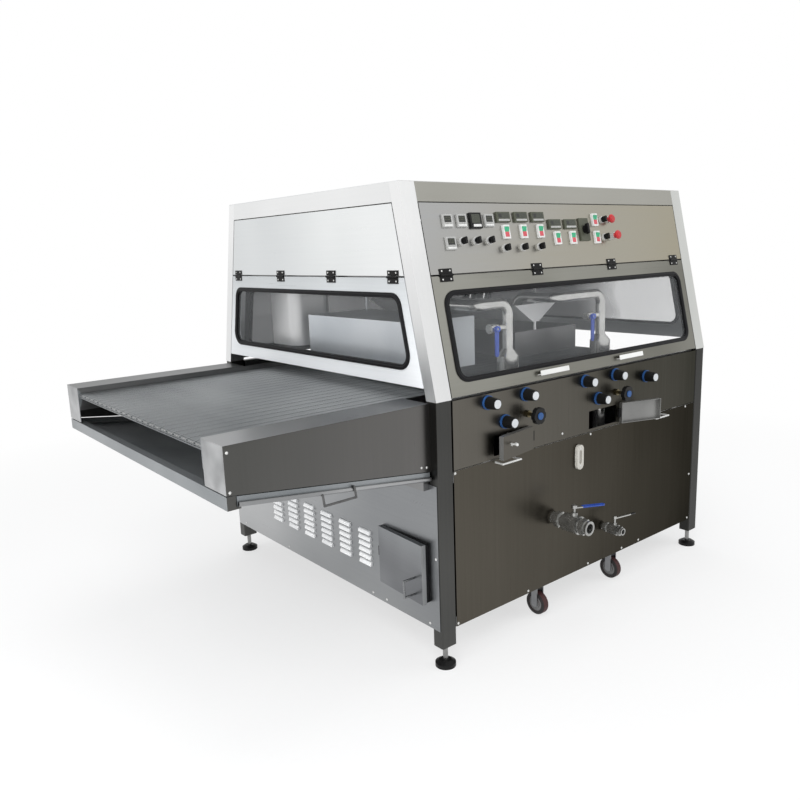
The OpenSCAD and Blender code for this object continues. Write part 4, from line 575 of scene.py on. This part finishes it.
lever_blue = sleeved("lever_blue", (0.010, 0.035, 0.26), (0.03, 0.09, 0.46))
for i in (1, 2):
    dress("riser_lever_%d" % i, lever_blue)
DRAIN_TURN, DRAIN_PIVOT, DRAIN_SLEEVE = math.radians(28.0), (640.0, -107.3), 34.0
SAMPLE_TURN, SAMPLE_PIVOT, SAMPLE_SLEEVE = math.radians(11.0), (985.0, -62.1), 92.0
dress("drain_lever", gripped("drain_grip", DRAIN_TURN, DRAIN_PIVOT, DRAIN_SLEEVE, (0.46, 0.46, 0.45),
                             ((0.010, 0.035, 0.24), (0.03, 0.09, 0.42))))
dress("sample_lever", gripped("sample_grip", SAMPLE_TURN, SAMPLE_PIVOT, SAMPLE_SLEEVE, (0.52, 0.52, 0.50),
                              ((0.010, 0.010, 0.010), (0.03, 0.03, 0.03))))

# The window doors: folded stainless frames that lift on leaf hinges, with a black rubber profile round
# a clear pane and two flat grips on the front one. The front frame is painted shade, lighter towards the
# infeed, the end frame painted light, lighter towards the bottom, and the grips painted as highlights.
# The same glazing is fixed in the rear and outfeed sides, made dark and dense there as painted shade
# over the interior behind; the clear panes carry a pale painted reflection.
HINGE_Z = 1471.0
LEAN = math.atan(SETBACK / (CAB_H - WAIST))
HINGE_V = (HINGE_Z - WAIST) / math.cos(LEAN)
LEAF_PROUD, LEAF_LOW = 0.05, HINGE_V - 26.0
GRIP_X, GRIP_HALF, GRIP_DEPTH, GRIP_LOW, GRIP_TOP = 262.0, 89.0, -0.6, 25.0, 32.5


def on_slope(p):
    """Cabinet point to its place along, up and out of the hood's front slope."""
    y, z = p.y, p.z - WAIST
    return Vector((p.x, y * math.sin(LEAN) + z * math.cos(LEAN), z * math.sin(LEAN) - y * math.cos(LEAN)))


def slope(x, v, n):
    """Machine point of a place along, up and out of the hood's front slope."""
    return at(x, v * math.sin(LEAN) - n * math.cos(LEAN), WAIST + v * math.cos(LEAN) + n * math.sin(LEAN))


def front_hinge(p, n):
    q = on_slope(p)
    return q.z > LEAF_PROUD and q.y > LEAF_LOW


def front_grip(p, n):
    q = on_slope(p)
    across = abs(abs(q.x - CAB_L / 2) - GRIP_X)
    return q.z > GRIP_DEPTH and across < GRIP_HALF and GRIP_LOW < q.y < GRIP_TOP


# Painted shade on the front door's frame, painted light on the end door's frame, painted highlight on the
# grips.
front_door_painted_shade = cloudy("front_door_painted_shade", (0.16, 0.158, 0.135), (0.23, 0.228, 0.20), (0.33, 0.328, 0.295),
                    LEVEL, (1.6, 1.0, 4.0), ("X", 1.2, -0.4, 0.5))
grip_painted_highlight = brushed("grip_painted_highlight", (0.70, 0.70, 0.68), (0.92, 0.92, 0.90), LEVEL, 4.0, metal=0.25)
end_door_painted_light = cloudy("end_door_painted_light", (0.50, 0.52, 0.53), (0.72, 0.745, 0.76), (0.94, 0.96, 0.98),
                        DEEP, (0.0, 1.8, 1.8), ("Z", 1.50, 1.10, 0.85), metal=0.12)
hinge_black = sleeved("hinge_black", (0.005, 0.005, 0.005), (0.014, 0.014, 0.014), 60.0, 0.4, shine=0.15)
dress("front_door", front_door_painted_shade, (hinge_black, front_hinge), (grip_painted_highlight, front_grip))
dress("left_door", end_door_painted_light, (hinge_black, lambda p, n: p.x < -LEAF_PROUD))
dress("door_hinges", hinge_black)

PANE_FACES, PANE_NEAR = (-9.3, -5.3), 0.12
OUTFEED_X = CAB_L - 20.0


def is_pane(depth, facing):
    """Whether a face, at a depth under the door's outside, is one of a pane's two faces."""
    return abs(facing) > FACING and min(abs(depth - face) for face in PANE_FACES) < PANE_NEAR


def front_pane(p, n):
    return is_pane(on_slope(p).z, n.z * math.sin(LEAN) - n.y * math.cos(LEAN))


def outfeed_pane(p, n):
    return p.x > OUTFEED_X and is_pane(p.x - CAB_L, n.x)


def rear_pane(p, n):
    q = on_slope(Vector((p.x, CAB_D - p.y, p.z)))
    return p.x <= OUTFEED_X and is_pane(q.z, n.z * math.sin(LEAN) + n.y * math.cos(LEAN))


rubber = Finish("rubber", Specular_Ior_Level=0.15)
dust = rubber.noise(9.0, 4.0, 0.7)
rubber.feed(Base_Color=rubber.blend(dust, (0.004, 0.004, 0.005), (0.016, 0.016, 0.017)),
            Roughness=dust * 0.25 + 0.38,
            Normal=rubber.bump(rubber.noise(500.0, 2.0), 0.15, 0.0003))
# Painted reflection: the clear panes' pale veil, in patches with the smudges, stands in for the room mirrored
# in them.
clear = Finish("clear_pane", IOR=1.45)
smudges_and_sheen = clear.noise(2.4, 3.0, 0.6)
clear.feed(Base_Color=clear.blend(smudges_and_sheen, (0.55, 0.58, 0.60), (0.80, 0.82, 0.84)),
           Alpha=smudges_and_sheen * 0.07 + 0.02,
           Roughness=smudges_and_sheen * 0.06 + 0.03)
# Painted shade: the rear panes are dark and dense, so that the interior behind them reads in shade.
rear_glass = Finish("rear_glass_painted_shade", IOR=1.45)
shade_patches = rear_glass.noise((1.5, 1.5, 3.0), 3.0, 0.6)
rear_glass.feed(Base_Color=rear_glass.blend(shade_patches, (0.14, 0.145, 0.148), (0.32, 0.33, 0.335)),
           Alpha=shade_patches * 0.3 + 0.56,
           Roughness=shade_patches * 0.2 + 0.2)
# Painted reflection and shade: the outfeed pane is pale and thin towards the front, dark and dense towards
# the rear.
outfeed_glass = Finish("outfeed_glass_painted_shade", Roughness=0.2, IOR=1.45)
sheen_to_shade = outfeed_glass.clamp(outfeed_glass.along("Y") + outfeed_glass.noise(3.0, 3.0) * 0.3, -0.05, 0.20)
outfeed_glass.feed(Base_Color=outfeed_glass.blend(sheen_to_shade, (0.55, 0.57, 0.58), (0.20, 0.205, 0.21)),
            Alpha=sheen_to_shade * 0.50 + 0.30)
dress("front_window", rubber.material, (clear.material, front_pane))
dress("left_window", rubber.material, (clear.material, lambda p, n: is_pane(-p.x, n.x)))
dress("fixed_windows", rubber.material, (rear_glass.material, rear_pane), (outfeed_glass.material, outfeed_pane))

WIN_R, WIN_SIDE, WIN_LOW, WIN_EDGE = 56.0, 120.0, 52.0, 56.0
WIN_B, WIN_H = CAB_L - 2 * WIN_SIDE, HINGE_V - WIN_EDGE - WIN_LOW
END_DOOR_LOW, END_SIDE = WAIST + 44.0, 98.0
END_LOW = END_DOOR_LOW + WIN_EDGE
END_H = HINGE_Z - WIN_EDGE - END_LOW
END_B = CAB_D - 2 * (SETBACK * (END_LOW - WAIST) / (CAB_H - WAIST) + END_SIDE)
BEAD_INSET, BEAD_HALF, BEAD_RISE, BEAD_SEAT, BEAD_STEPS, BEAD_SMOOTH = 9.0, 4.2, 2.6, 3.9, 6, 60.0


def window_loop(b, h, lean, steps=9):
    """Points of the bead round a window whose lower edge is centred on the origin, in millimetres."""
    low = Vector((b / 2 - WIN_R * (1 + math.sin(lean)) / math.cos(lean), WIN_R))
    top = Vector((b / 2 - ((h - WIN_R) * math.sin(lean) + WIN_R) / math.cos(lean), h - WIN_R))
    half = []
    for centre, a1, a2 in ((low, -math.pi / 2, lean), (top, lean, math.pi / 2)):
        for i in range(steps + 1):
            a = a1 + (a2 - a1) * i / steps
            half.append(centre + (WIN_R - BEAD_INSET) * Vector((math.cos(a), math.sin(a))))
    return half + [Vector((-p.x, p.y)) for p in reversed(half)]


def bead(name, body, loop, lift):
    """Half-round locking bead of the rubber profile, laid along a closed loop."""
    bm = bmesh.new()
    turns = (math.pi * i / BEAD_STEPS for i in range(BEAD_STEPS + 1))
    profile = [(BEAD_HALF * math.cos(a), BEAD_RISE * math.sin(a)) for a in turns]
    rows = []
    for i, p in enumerate(loop):
        tangent = (loop[(i + 1) % len(loop)] - loop[i - 1]).normalized()
        out = Vector((tangent.y, -tangent.x))
        rows.append([bm.verts.new(lift(p + out * a, BEAD_SEAT + b)) for a, b in profile])
    for row, after in zip(rows, rows[1:] + rows[:1]):
        for j in range(BEAD_STEPS):
            bm.faces.new((row[j], after[j], after[j + 1], row[j + 1]))
        bm.faces.new((row[-1], after[-1], after[0], row[0]))
    bmesh.ops.recalc_face_normals(bm, faces=bm.faces)
    finished(name, body, [rubber.material], bm, BEAD_SMOOTH)


def front_lift(p, n):
    return slope(CAB_L / 2 + p.x, WIN_LOW + p.y, n)


def rear_lift(p, n):
    q = in_cabinet(front_lift(p, n))
    return at(q.x, CAB_D - q.y, q.z)


front_loop = window_loop(WIN_B, WIN_H, 0.0)
end_loop = window_loop(END_B, END_H, LEAN)
bead("front_bead", "front_door", front_loop, front_lift)
bead("left_bead", "left_door", end_loop, lambda p, n: at(-n, CAB_D / 2 + p.x, END_LOW + p.y))
bead("rear_bead", "cabinet", front_loop, rear_lift)
bead("outfeed_bead", "cabinet", end_loop, lambda p, n: at(CAB_L + n, CAB_D / 2 + p.x, END_LOW + p.y))


def slab(bm, place, x, y, z, edge, tint=0):
    """Block with eased edges between pairs of places, which place turns into machine points."""
    made = bmesh.ops.create_cube(bm, size=1.0)["verts"]
    for vert in made:
        vert.co = Vector([pair[0] if share < 0 else pair[1] for pair, share in zip((x, y, z), vert.co)])
    edges = {line for vert in made for line in vert.link_edges}
    eased = bmesh.ops.bevel(bm, geom=list(edges), offset=edge, segments=2, affect="EDGES")["faces"]
    made = {vert for face in eased for vert in face.verts}
    for vert in made:
        vert.co = place(*vert.co)
    faces = {face for vert in made for face in vert.link_faces}
    for face in faces:
        face.material_index = tint
    bmesh.ops.recalc_face_normals(bm, faces=list(faces))


LIP_HALF, LIP_V, LIP_N, LIP_EDGE = 88.0, (23.0, 43.0), (15.6, 18.4), 1.2
bm = bmesh.new()
for x in (CAB_L / 2 - GRIP_X, CAB_L / 2 + GRIP_X):
    slab(bm, slope, (x - LIP_HALF, x + LIP_HALF), LIP_V, LIP_N, LIP_EDGE)
finished("grip_lips", "front_door", [grip_painted_highlight], bm)

# The service hatches: shallow folded doors with a bow pull, a latch knob and a black hinge. The first
# front one stands ajar and the second is swung right back, showing its inside, paler than the outer
# skins, which take the front panels' painted dark reflection. The end one, in painted patches of
# reflection with its rim towards the front painted light, closes on a black rubber seal round its
# mouth, which also stands as painted shade in the gap.
HATCH_X, HATCH_STEP, HATCH_PIN = 494.0, 584.0, 10.5
HATCH_OPEN = (math.radians(9.0), math.radians(161.0))
HATCH_SKIN, HATCH_BOW, HATCH_LEAF = -9.9, -10.05, -5.9
END_HATCH_Y, END_HATCH_OPEN = 350.0, math.radians(3.0)
SEAL_X, SEAL_Y, SEAL_Z, SEAL_W, SEAL_EDGE = (-13.0, 0.2), (66.8, 341.2), (257.6, 489.4), 4.0, 0.8


def hatch_place(p, which):
    """Cabinet point to its place on a front hatch as if it were shut."""
    pin = Vector((HATCH_X + HATCH_STEP * which, -HATCH_PIN, 0.0))
    return Matrix.Rotation(-HATCH_OPEN[which], 3, "Z") @ (p - pin)


def end_hatch_place(p):
    """Cabinet point to its place on the end hatch as if it were shut."""
    return Matrix.Rotation(-END_HATCH_OPEN, 3, "Z") @ Vector((p.y - END_HATCH_Y, p.x + HATCH_PIN, 0.0))


hatch_inside = brushed("hatch_inside", (0.20, 0.20, 0.195), (0.34, 0.34, 0.33), LEVEL, 4.0, metal=0.7)
# The outer skins take the front panels' painted dark reflection.
for which in (0, 1):
    dress("front_hatch_%d" % (which + 1), hatch_inside,
          (front_middle, lambda p, n, w=which: hatch_place(p, w).y < HATCH_SKIN),
          (bow_steel_and_fold_highlight, lambda p, n, w=which: hatch_place(p, w).y < HATCH_BOW),
          (hinge_black, lambda p, n, w=which: hatch_place(p, w).x > HATCH_LEAF))
# Painted reflection in broad patches on the end hatch; painted light on its rim faces towards the front.
end_hatch_steel = cloudy("end_hatch_steel", (0.15, 0.155, 0.165), (0.205, 0.21, 0.22), (0.29, 0.30, 0.31),
                         DEEP, (0.0, 3.0, 3.0))
hatch_rim_painted_light = brushed("hatch_rim_painted_light", (0.28, 0.285, 0.29), (0.44, 0.445, 0.45), UPRIGHT, 4.0, metal=0.6)
hatch_bow = polished("hatch_bow", (0.10, 0.105, 0.11), (0.34, 0.345, 0.35), 40.0, 0.18, 0.9)
dress("end_hatch", end_hatch_steel,
      (hatch_rim_painted_light, lambda p, n: n.y < -TOWARDS),
      (hatch_bow, lambda p, n: end_hatch_place(p).y < HATCH_BOW),
      (hinge_black, lambda p, n: end_hatch_place(p).x > HATCH_LEAF))
# The seal also stands as painted shade: it closes the gap round the mouth, so that the gap reads dark.
bm = bmesh.new()
for y in ((SEAL_Y[0], SEAL_Y[0] + SEAL_W), (SEAL_Y[1] - SEAL_W, SEAL_Y[1])):
    slab(bm, at, SEAL_X, y, SEAL_Z, SEAL_EDGE)
for z in ((SEAL_Z[0], SEAL_Z[0] + SEAL_W), (SEAL_Z[1] - SEAL_W, SEAL_Z[1])):
    slab(bm, at, SEAL_X, (SEAL_Y[0] + SEAL_W, SEAL_Y[1] - SEAL_W), z, SEAL_EDGE)
finished("mouth_seal", "cabinet", [rubber.material], bm)

# The joint strips: black rubber behind the joints between the front and rear panels and the posts.
# They are stuck to the posts and stand as painted shade: they close the seams, so that these read dark.
STRIP_XS, STRIP_YS, STRIP_ZS = (74.2, CAB_L - 84.0), (18.6, CAB_D - 6.2), ((196.0, 724.0), (796.0, 992.0))
STRIP_W, STRIP_T, STRIP_EDGE = 9.8, 4.0, 0.8
bm = bmesh.new()
for y in STRIP_YS:
    for x in STRIP_XS:
        for z in STRIP_ZS:
            slab(bm, at, (x, x + STRIP_W), (y, y + STRIP_T), z, STRIP_EDGE)
finished("joint_strips", "cabinet", [rubber.material], bm)

# The control panel: a ground sheet on the slope, with moulded controllers, a recorder, displays,
# switches, selectors in bright collars and buttons, all fixed through holes in it.
CTL_X, CTL_PITCH, CTL_V, LOW_V = 198.0, 72.0, HINGE_V + 197.0, HINGE_V + 114.0
DISPLAY_X, DISPLAY_PITCH, DISPLAY_V, DISPLAY_DROP = 494.0, 101.0, HINGE_V + 210.0, 30.0
STOP_VS, STOP_SWITCH_X, STOP_SELECTOR_X, BUTTON_X = (CTL_V, LOW_V + 7.0), 1069.0, 1123.0, 1169.0
SWITCH_RIGHT, SWITCH_UNDER, SELECTOR_LEFT, SELECTOR_UNDER = 5.0, 58.0, 18.0, 63.0
SELECTOR_START, SELECTOR_UP, MAIN_X, MAIN_UNDER = 0.8, 6.0, 989.0, 6.0
RECORDER_HALF, DISPLAY_HALF, MAIN_HALF = (31, 31), (39, 21), (33, 50)
SWITCH_HALF, COLLAR_HALF = (19, 28), (16, 16)
controllers = [(CTL_X + i * CTL_PITCH, CTL_V) for i in (0, 1, 3)] + [(CTL_X, LOW_V)]
recorder = (CTL_X + 2 * CTL_PITCH, CTL_V)
displays = [(DISPLAY_X + DISPLAY_PITCH * i, DISPLAY_V - (DISPLAY_DROP if i > 2 else 0.0)) for i in range(5)]
switches = ([(x + SWITCH_RIGHT, v - SWITCH_UNDER) for x, v in displays]
            + [(STOP_SWITCH_X, v) for v in STOP_VS])
selectors = ([(CTL_X + (i + SELECTOR_START) * CTL_PITCH, LOW_V + SELECTOR_UP) for i in range(3)]
             + [(x - SELECTOR_LEFT, v - SELECTOR_UNDER) for x, v in switches[:3]]
             + [(STOP_SELECTOR_X, v) for v in STOP_VS])
buttons = [(BUTTON_X, v) for v in STOP_VS]
main_switch = (MAIN_X, (DISPLAY_V + LOW_V) / 2 - MAIN_UNDER)


def near(places, half):
    """Test for faces within half a width and half a height of places on the slope."""
    def test(p, n):
        q = on_slope(p)
        return any(abs(q.x - x) < half[0] and abs(q.y - v) < half[1] for x, v in places)
    return test


# Painted reflection: the panel sheet is lighter and cooler towards the infeed, warmer and darker towards the
# outfeed, in broad patches.
panel_warm = cloudy("panel_warm", (0.36, 0.332, 0.255), (0.385, 0.368, 0.315), (0.43, 0.435, 0.435),
                    LEVEL, (1.1, 1.0, 2.0), ("X", 1.2, -0.4, 0.8))
plastic_grey = sleeved("plastic_grey", (0.36, 0.36, 0.35), (0.48, 0.48, 0.465), 70.0, 0.36)
plastic_white = sleeved("plastic_white", (0.66, 0.66, 0.645), (0.78, 0.78, 0.765), 70.0, 0.3)
plastic_black = sleeved("plastic_black", (0.004, 0.004, 0.004), (0.012, 0.012, 0.012), 60.0, 0.3, shine=0.2)
plastic_olive = sleeved("plastic_olive", (0.060, 0.064, 0.046), (0.10, 0.105, 0.078), 70.0, 0.36, shine=0.25)
collar_bright = polished("collar_bright", (0.46, 0.46, 0.45), (0.94, 0.94, 0.93), 60.0, 0.2, 0.45)
dress("control_panel", panel_warm)
dress("panel_instruments", plastic_grey,
      (plastic_black, near([recorder], RECORDER_HALF)),
      (plastic_olive, near(displays, DISPLAY_HALF)),
      (plastic_olive, near([main_switch], MAIN_HALF)),
      (plastic_white, near(switches, SWITCH_HALF)),
      (collar_bright, near(selectors + buttons, COLLAR_HALF)))


def glazed(name, grain, low, high, rough):
    """Glossy instrument window with a fine grain of cells behind it."""
    window = Finish(name, Coat_Weight=0.2, IOR=1.5, Specular_Ior_Level=0.25)
    cell = window.noise((grain, grain, grain), 1.0)
    window.feed(Base_Color=window.blend(cell, low, high), Roughness=cell * 0.1 + rough)
    return window.material


screen = glazed("screen", 260.0, (0.014, 0.015, 0.014), (0.038, 0.040, 0.036), 0.14)
screen_olive = glazed("screen_olive", 200.0, (0.030, 0.034, 0.026), (0.072, 0.078, 0.060), 0.16)
BEZEL, FOOT, ON_SCREEN = 8.0, -0.4, 0.4
DARK, PALE, GREY, DIGIT, OLIVE = range(5)
KEYS, KEY_STEP, DIGITS, DIGIT_STEP, LINES, LINE_STEP = 4, 8.0, 4, 7.0, 2, 8.0


def plate(bm, centre, x0, x1, v0, v1, rise, edge, tint, base=FOOT):
    """Raised block on an instrument's face, placed from the instrument's centre."""
    x, v = centre
    slab(bm, slope, (x + x0, x + x1), (v + v0, v + v1), (BEZEL + base, BEZEL + rise), edge, tint)


bm = bmesh.new()
for place in controllers:
    plate(bm, place, -17, 17, -6, 18, 0.5, 0.3, DARK)
    plate(bm, place, -20, 20, -21, -14, 1.6, 0.5, PALE)
    for i in range(KEYS):
        plate(bm, place, -15 + i * KEY_STEP, -9.5 + i * KEY_STEP, -12, -8, 1.0, 0.3, GREY)
    for line in range(LINES):
        for i in range(DIGITS):
            x, v = i * DIGIT_STEP, line * LINE_STEP
            plate(bm, place, x - 13, x - 9, v + 1, v + 6, 0.7, 0.1, DIGIT, ON_SCREEN)
plate(bm, recorder, -22, 22, -10, 24, 0.5, 0.3, OLIVE)
plate(bm, recorder, -16, 24, -24, -14, 1.6, 0.5, PALE)
for place in displays:
    plate(bm, place, -30, 32, -5, 16, 0.5, 0.3, OLIVE)
    plate(bm, place, -29, 33, -16, -8, 1.2, 0.4, GREY)
    plate(bm, place, -24, -10, -2, 12, 0.8, 0.2, DARK, ON_SCREEN)
finished("instrument_faces", "cabinet",
         [screen, plastic_white, plastic_grey, plastic_olive, screen_olive], bm)

ROCKER_SPLIT = 0.5
rocker_green = sleeved("rocker_green", (0.02, 0.30, 0.14), (0.05, 0.46, 0.24), 60.0, 0.24, 0.3)
rocker_red = sleeved("rocker_red", (0.48, 0.05, 0.07), (0.66, 0.10, 0.12), 60.0, 0.24, 0.3)
mushroom_red = sleeved("mushroom_red", (0.34, 0.012, 0.016), (0.55, 0.03, 0.035), 50.0, 0.3, 0.2)
for i, (x, v) in enumerate(switches, 1):
    dress("rocker_%d" % i, rocker_green, (rocker_red, lambda p, n, v=v: on_slope(p).y < v - ROCKER_SPLIT))
for i in range(1, len(selectors) + 1):
    dress("selector_%d" % i, plastic_black)
for i in range(1, len(buttons) + 1):
    dress("mushroom_button_%d" % i, mushroom_red)
dress("main_switch_lever", plastic_black)

# Front valves and gauge: tapered black knobs with white caps on blue skirts, black handwheels with
# blue caps on brass stems, and a cream level gauge. The knobs are pinned to bright spindles.
KNOBS, SKIRT_Y, SPINDLE_Y, CAP_Y = 7, -9.6, -0.9, -52.5
WHEEL_CAP_Y, WHEEL_STEM_Y = -66.3, -47.5
GAUGE_X, GAUGE_Z, SLOT_HALF, SLOT_Y = 801.0, 676.0, 9.0, (-12.9, -1.0)
knob_blue = sleeved("knob_blue", (0.016, 0.060, 0.19), (0.035, 0.11, 0.30), 60.0, 0.34)
cap_pale = sleeved("cap_pale", (0.56, 0.58, 0.60), (0.70, 0.72, 0.74), 60.0, 0.4)
valve_bright = polished("valve_bright", (0.46, 0.46, 0.44), (0.72, 0.72, 0.70), 26.0, 0.16, 0.55)
for i in range(1, KNOBS + 1):
    dress("knob_%d" % i, plastic_black,
          (knob_blue, lambda p, n: SKIRT_Y < p.y < SPINDLE_Y),
          (cap_pale, lambda p, n: p.y < CAP_Y),
          (valve_bright, lambda p, n: p.y > SPINDLE_Y))
brassy = polished("brassy", (0.10, 0.084, 0.048), (0.21, 0.178, 0.105), 30.0, 0.26)
for i in (1, 2):
    dress("handwheel_%d" % i, plastic_black,
          (knob_blue, lambda p, n: p.y < WHEEL_CAP_Y),
          (brassy, lambda p, n: p.y > WHEEL_STEM_Y))
gauge_cream = sleeved("gauge_cream", (0.52, 0.50, 0.45), (0.62, 0.60, 0.55), 60.0, 0.4)
gauge_slot = sleeved("gauge_slot", (0.34, 0.33, 0.29), (0.44, 0.42, 0.38), 60.0, 0.4)
dress("level_gauge", gauge_cream,
      (gauge_slot, lambda p, n: SLOT_Y[0] < p.y < SLOT_Y[1] and abs(p.x - GAUGE_X) < SLOT_HALF))

# Feet and castors: black moulded pads on threaded steel stems level the machine. Zinc-plated forks,
# bolted under the frame, carry wheels with a soft tread on a moulded hub.
PAD_H = 26.0
AXLE_IN, AXLE_Z, HUB_R, SIDEWAYS = 57.0, 53.0, 36.0, 0.5
stem_grey = polished("stem_grey", (0.14, 0.14, 0.14), (0.40, 0.40, 0.39), 40.0, 0.2)
dress("levelling_feet", plastic_black, (stem_grey, lambda p, n: p.z > PAD_H))
zinc = polished("zinc", (0.16, 0.165, 0.17), (0.36, 0.365, 0.375), 14.0, 0.3)
dress("castor_forks", zinc)
tread = sleeved("tread", (0.035, 0.014, 0.014), (0.075, 0.03, 0.03), 40.0, 0.5)
wall_black = sleeved("wall_black", (0.012, 0.011, 0.011), (0.035, 0.032, 0.032), 40.0, 0.5)
hub_grey = sleeved("hub_grey", (0.13, 0.13, 0.13), (0.22, 0.22, 0.22), 40.0, 0.4)


def on_hub(axle_y):
    """Test for the faces of the hub at a wheel's two sides."""
    def test(p, n):
        return math.hypot(p.y - axle_y, p.z - AXLE_Z) < HUB_R and abs(n.x) > SIDEWAYS
    return test


for node, axle_y in (("front_wheels", AXLE_IN), ("rear_wheels", CAB_D - AXLE_IN)):
    dress(node, tread, (wall_black, lambda p, n: abs(n.x) > SIDEWAYS), (hub_grey, on_hub(axle_y)))

# Screws: domed steel heads hold the panels, the conveyor's side plate and the gauge, and smaller ones
# the hinge leaves. The lower leaves and their screws lift with the doors.
SIDES = 12
HEAD = ((1.0, -0.2), (1.0, 0.25), (0.86, 0.62), (0.55, 0.9))
PANEL_HEAD, SIDE_HEAD, GAUGE_HEAD, LEAF_HEAD = (5.5, 3.0), (5.0, 3.0), (5.0, 2.5), (3.6, 1.6)
SIDE_Y, GAUGE_Y, GAUGE_STEP = 40.0, -13.0, 38
LEAF_T, LEAF_ACROSS, LEAF_OFF = 3.0, 20.0, 15.5
HINGES, HINGE_FIRST, HINGE_STEP, END_HINGE_STEP = 4, 150.0, 498.0, 398.0
FRONT_HINGES = [HINGE_FIRST + HINGE_STEP * i for i in range(HINGES)]
END_HINGES = [CAB_D / 2 + END_HINGE_STEP * (i - (HINGES - 1) / 2) for i in range(HINGES)]
FRONT_SCREWS = ((694, 797), (884, 760), (84, 760), (482, 166), (880, 166), (1133, 166), (1268, 168),
                (1640, 760), (1700, 400), (1700, 166), (84, 166))
END_SCREWS = ((24, 443), (424, 172), (332, 172), (66, 172), (1100, 172), (1540, 172), (1560, 453))
SIDE_SCREWS = ((-784, 1006), (-784, 884), (-42, 800), (-18, 796))


def dome(bm, place, x, y, head):
    """Domed screw head; place turns its millimetres, the last one outwards, into a machine point."""
    radius, rise = head
    turns = [2 * math.pi * i / SIDES for i in range(SIDES)]
    rings = []
    for share, height in HEAD:
        r = share * radius
        rings.append([bm.verts.new(place(x + r * math.cos(a), y + r * math.sin(a), height * rise))
                      for a in turns])
    top = bm.verts.new(place(x, y, rise))
    faces = [bm.faces.new(rings[0][::-1])]
    for i in range(SIDES):
        j = (i + 1) % SIDES
        for low, high in zip(rings, rings[1:]):
            faces.append(bm.faces.new((low[i], low[j], high[j], high[i])))
        faces.append(bm.faces.new((rings[-1][i], rings[-1][j], top)))
    bmesh.ops.recalc_face_normals(bm, faces=faces)


def on_front(x, z, out):
    return at(x, -out, z)


def on_end(y, z, out):
    return at(-out, y, z)


def on_side(x, z, out):
    return at(x, SIDE_Y - out, z)


def on_gauge(x, z, out):
    return at(x, GAUGE_Y - out, z)


def front_leaf(x, v, out):
    return slope(x, v, LEAF_T + out)


def end_leaf(y, z, out):
    return at(-LEAF_T - out, y, z)


screw_steel = polished("screw_steel", (0.50, 0.50, 0.49), (0.78, 0.78, 0.76), 90.0, 0.2, 0.5)
bm = bmesh.new()
for x, z in FRONT_SCREWS:
    dome(bm, on_front, x, z, PANEL_HEAD)
for y, z in END_SCREWS:
    dome(bm, on_end, y, z, PANEL_HEAD)
for x, z in SIDE_SCREWS:
    dome(bm, on_side, x, z, SIDE_HEAD)
for z in (GAUGE_Z - GAUGE_STEP, GAUGE_Z + GAUGE_STEP):
    dome(bm, on_gauge, GAUGE_X, z, GAUGE_HEAD)
finished("panel_screws", "cabinet", [screw_steel], bm)
for name, body, side in (("fixed_leaf_screws", "cabinet", 1), ("front_leaf_screws", "front_door", -1),
                         ("end_leaf_screws", "left_door", -1)):
    bm = bmesh.new()
    for x, y in zip(FRONT_HINGES, END_HINGES):
        for step in (-LEAF_ACROSS, LEAF_ACROSS):
            if body != "left_door":
                dome(bm, front_leaf, x + step, HINGE_V + side * LEAF_OFF, LEAF_HEAD)
            if body != "front_door":
                dome(bm, end_leaf, y + step, HINGE_Z + side * LEAF_OFF, LEAF_HEAD)
    finished(name, body, [screw_steel], bm)
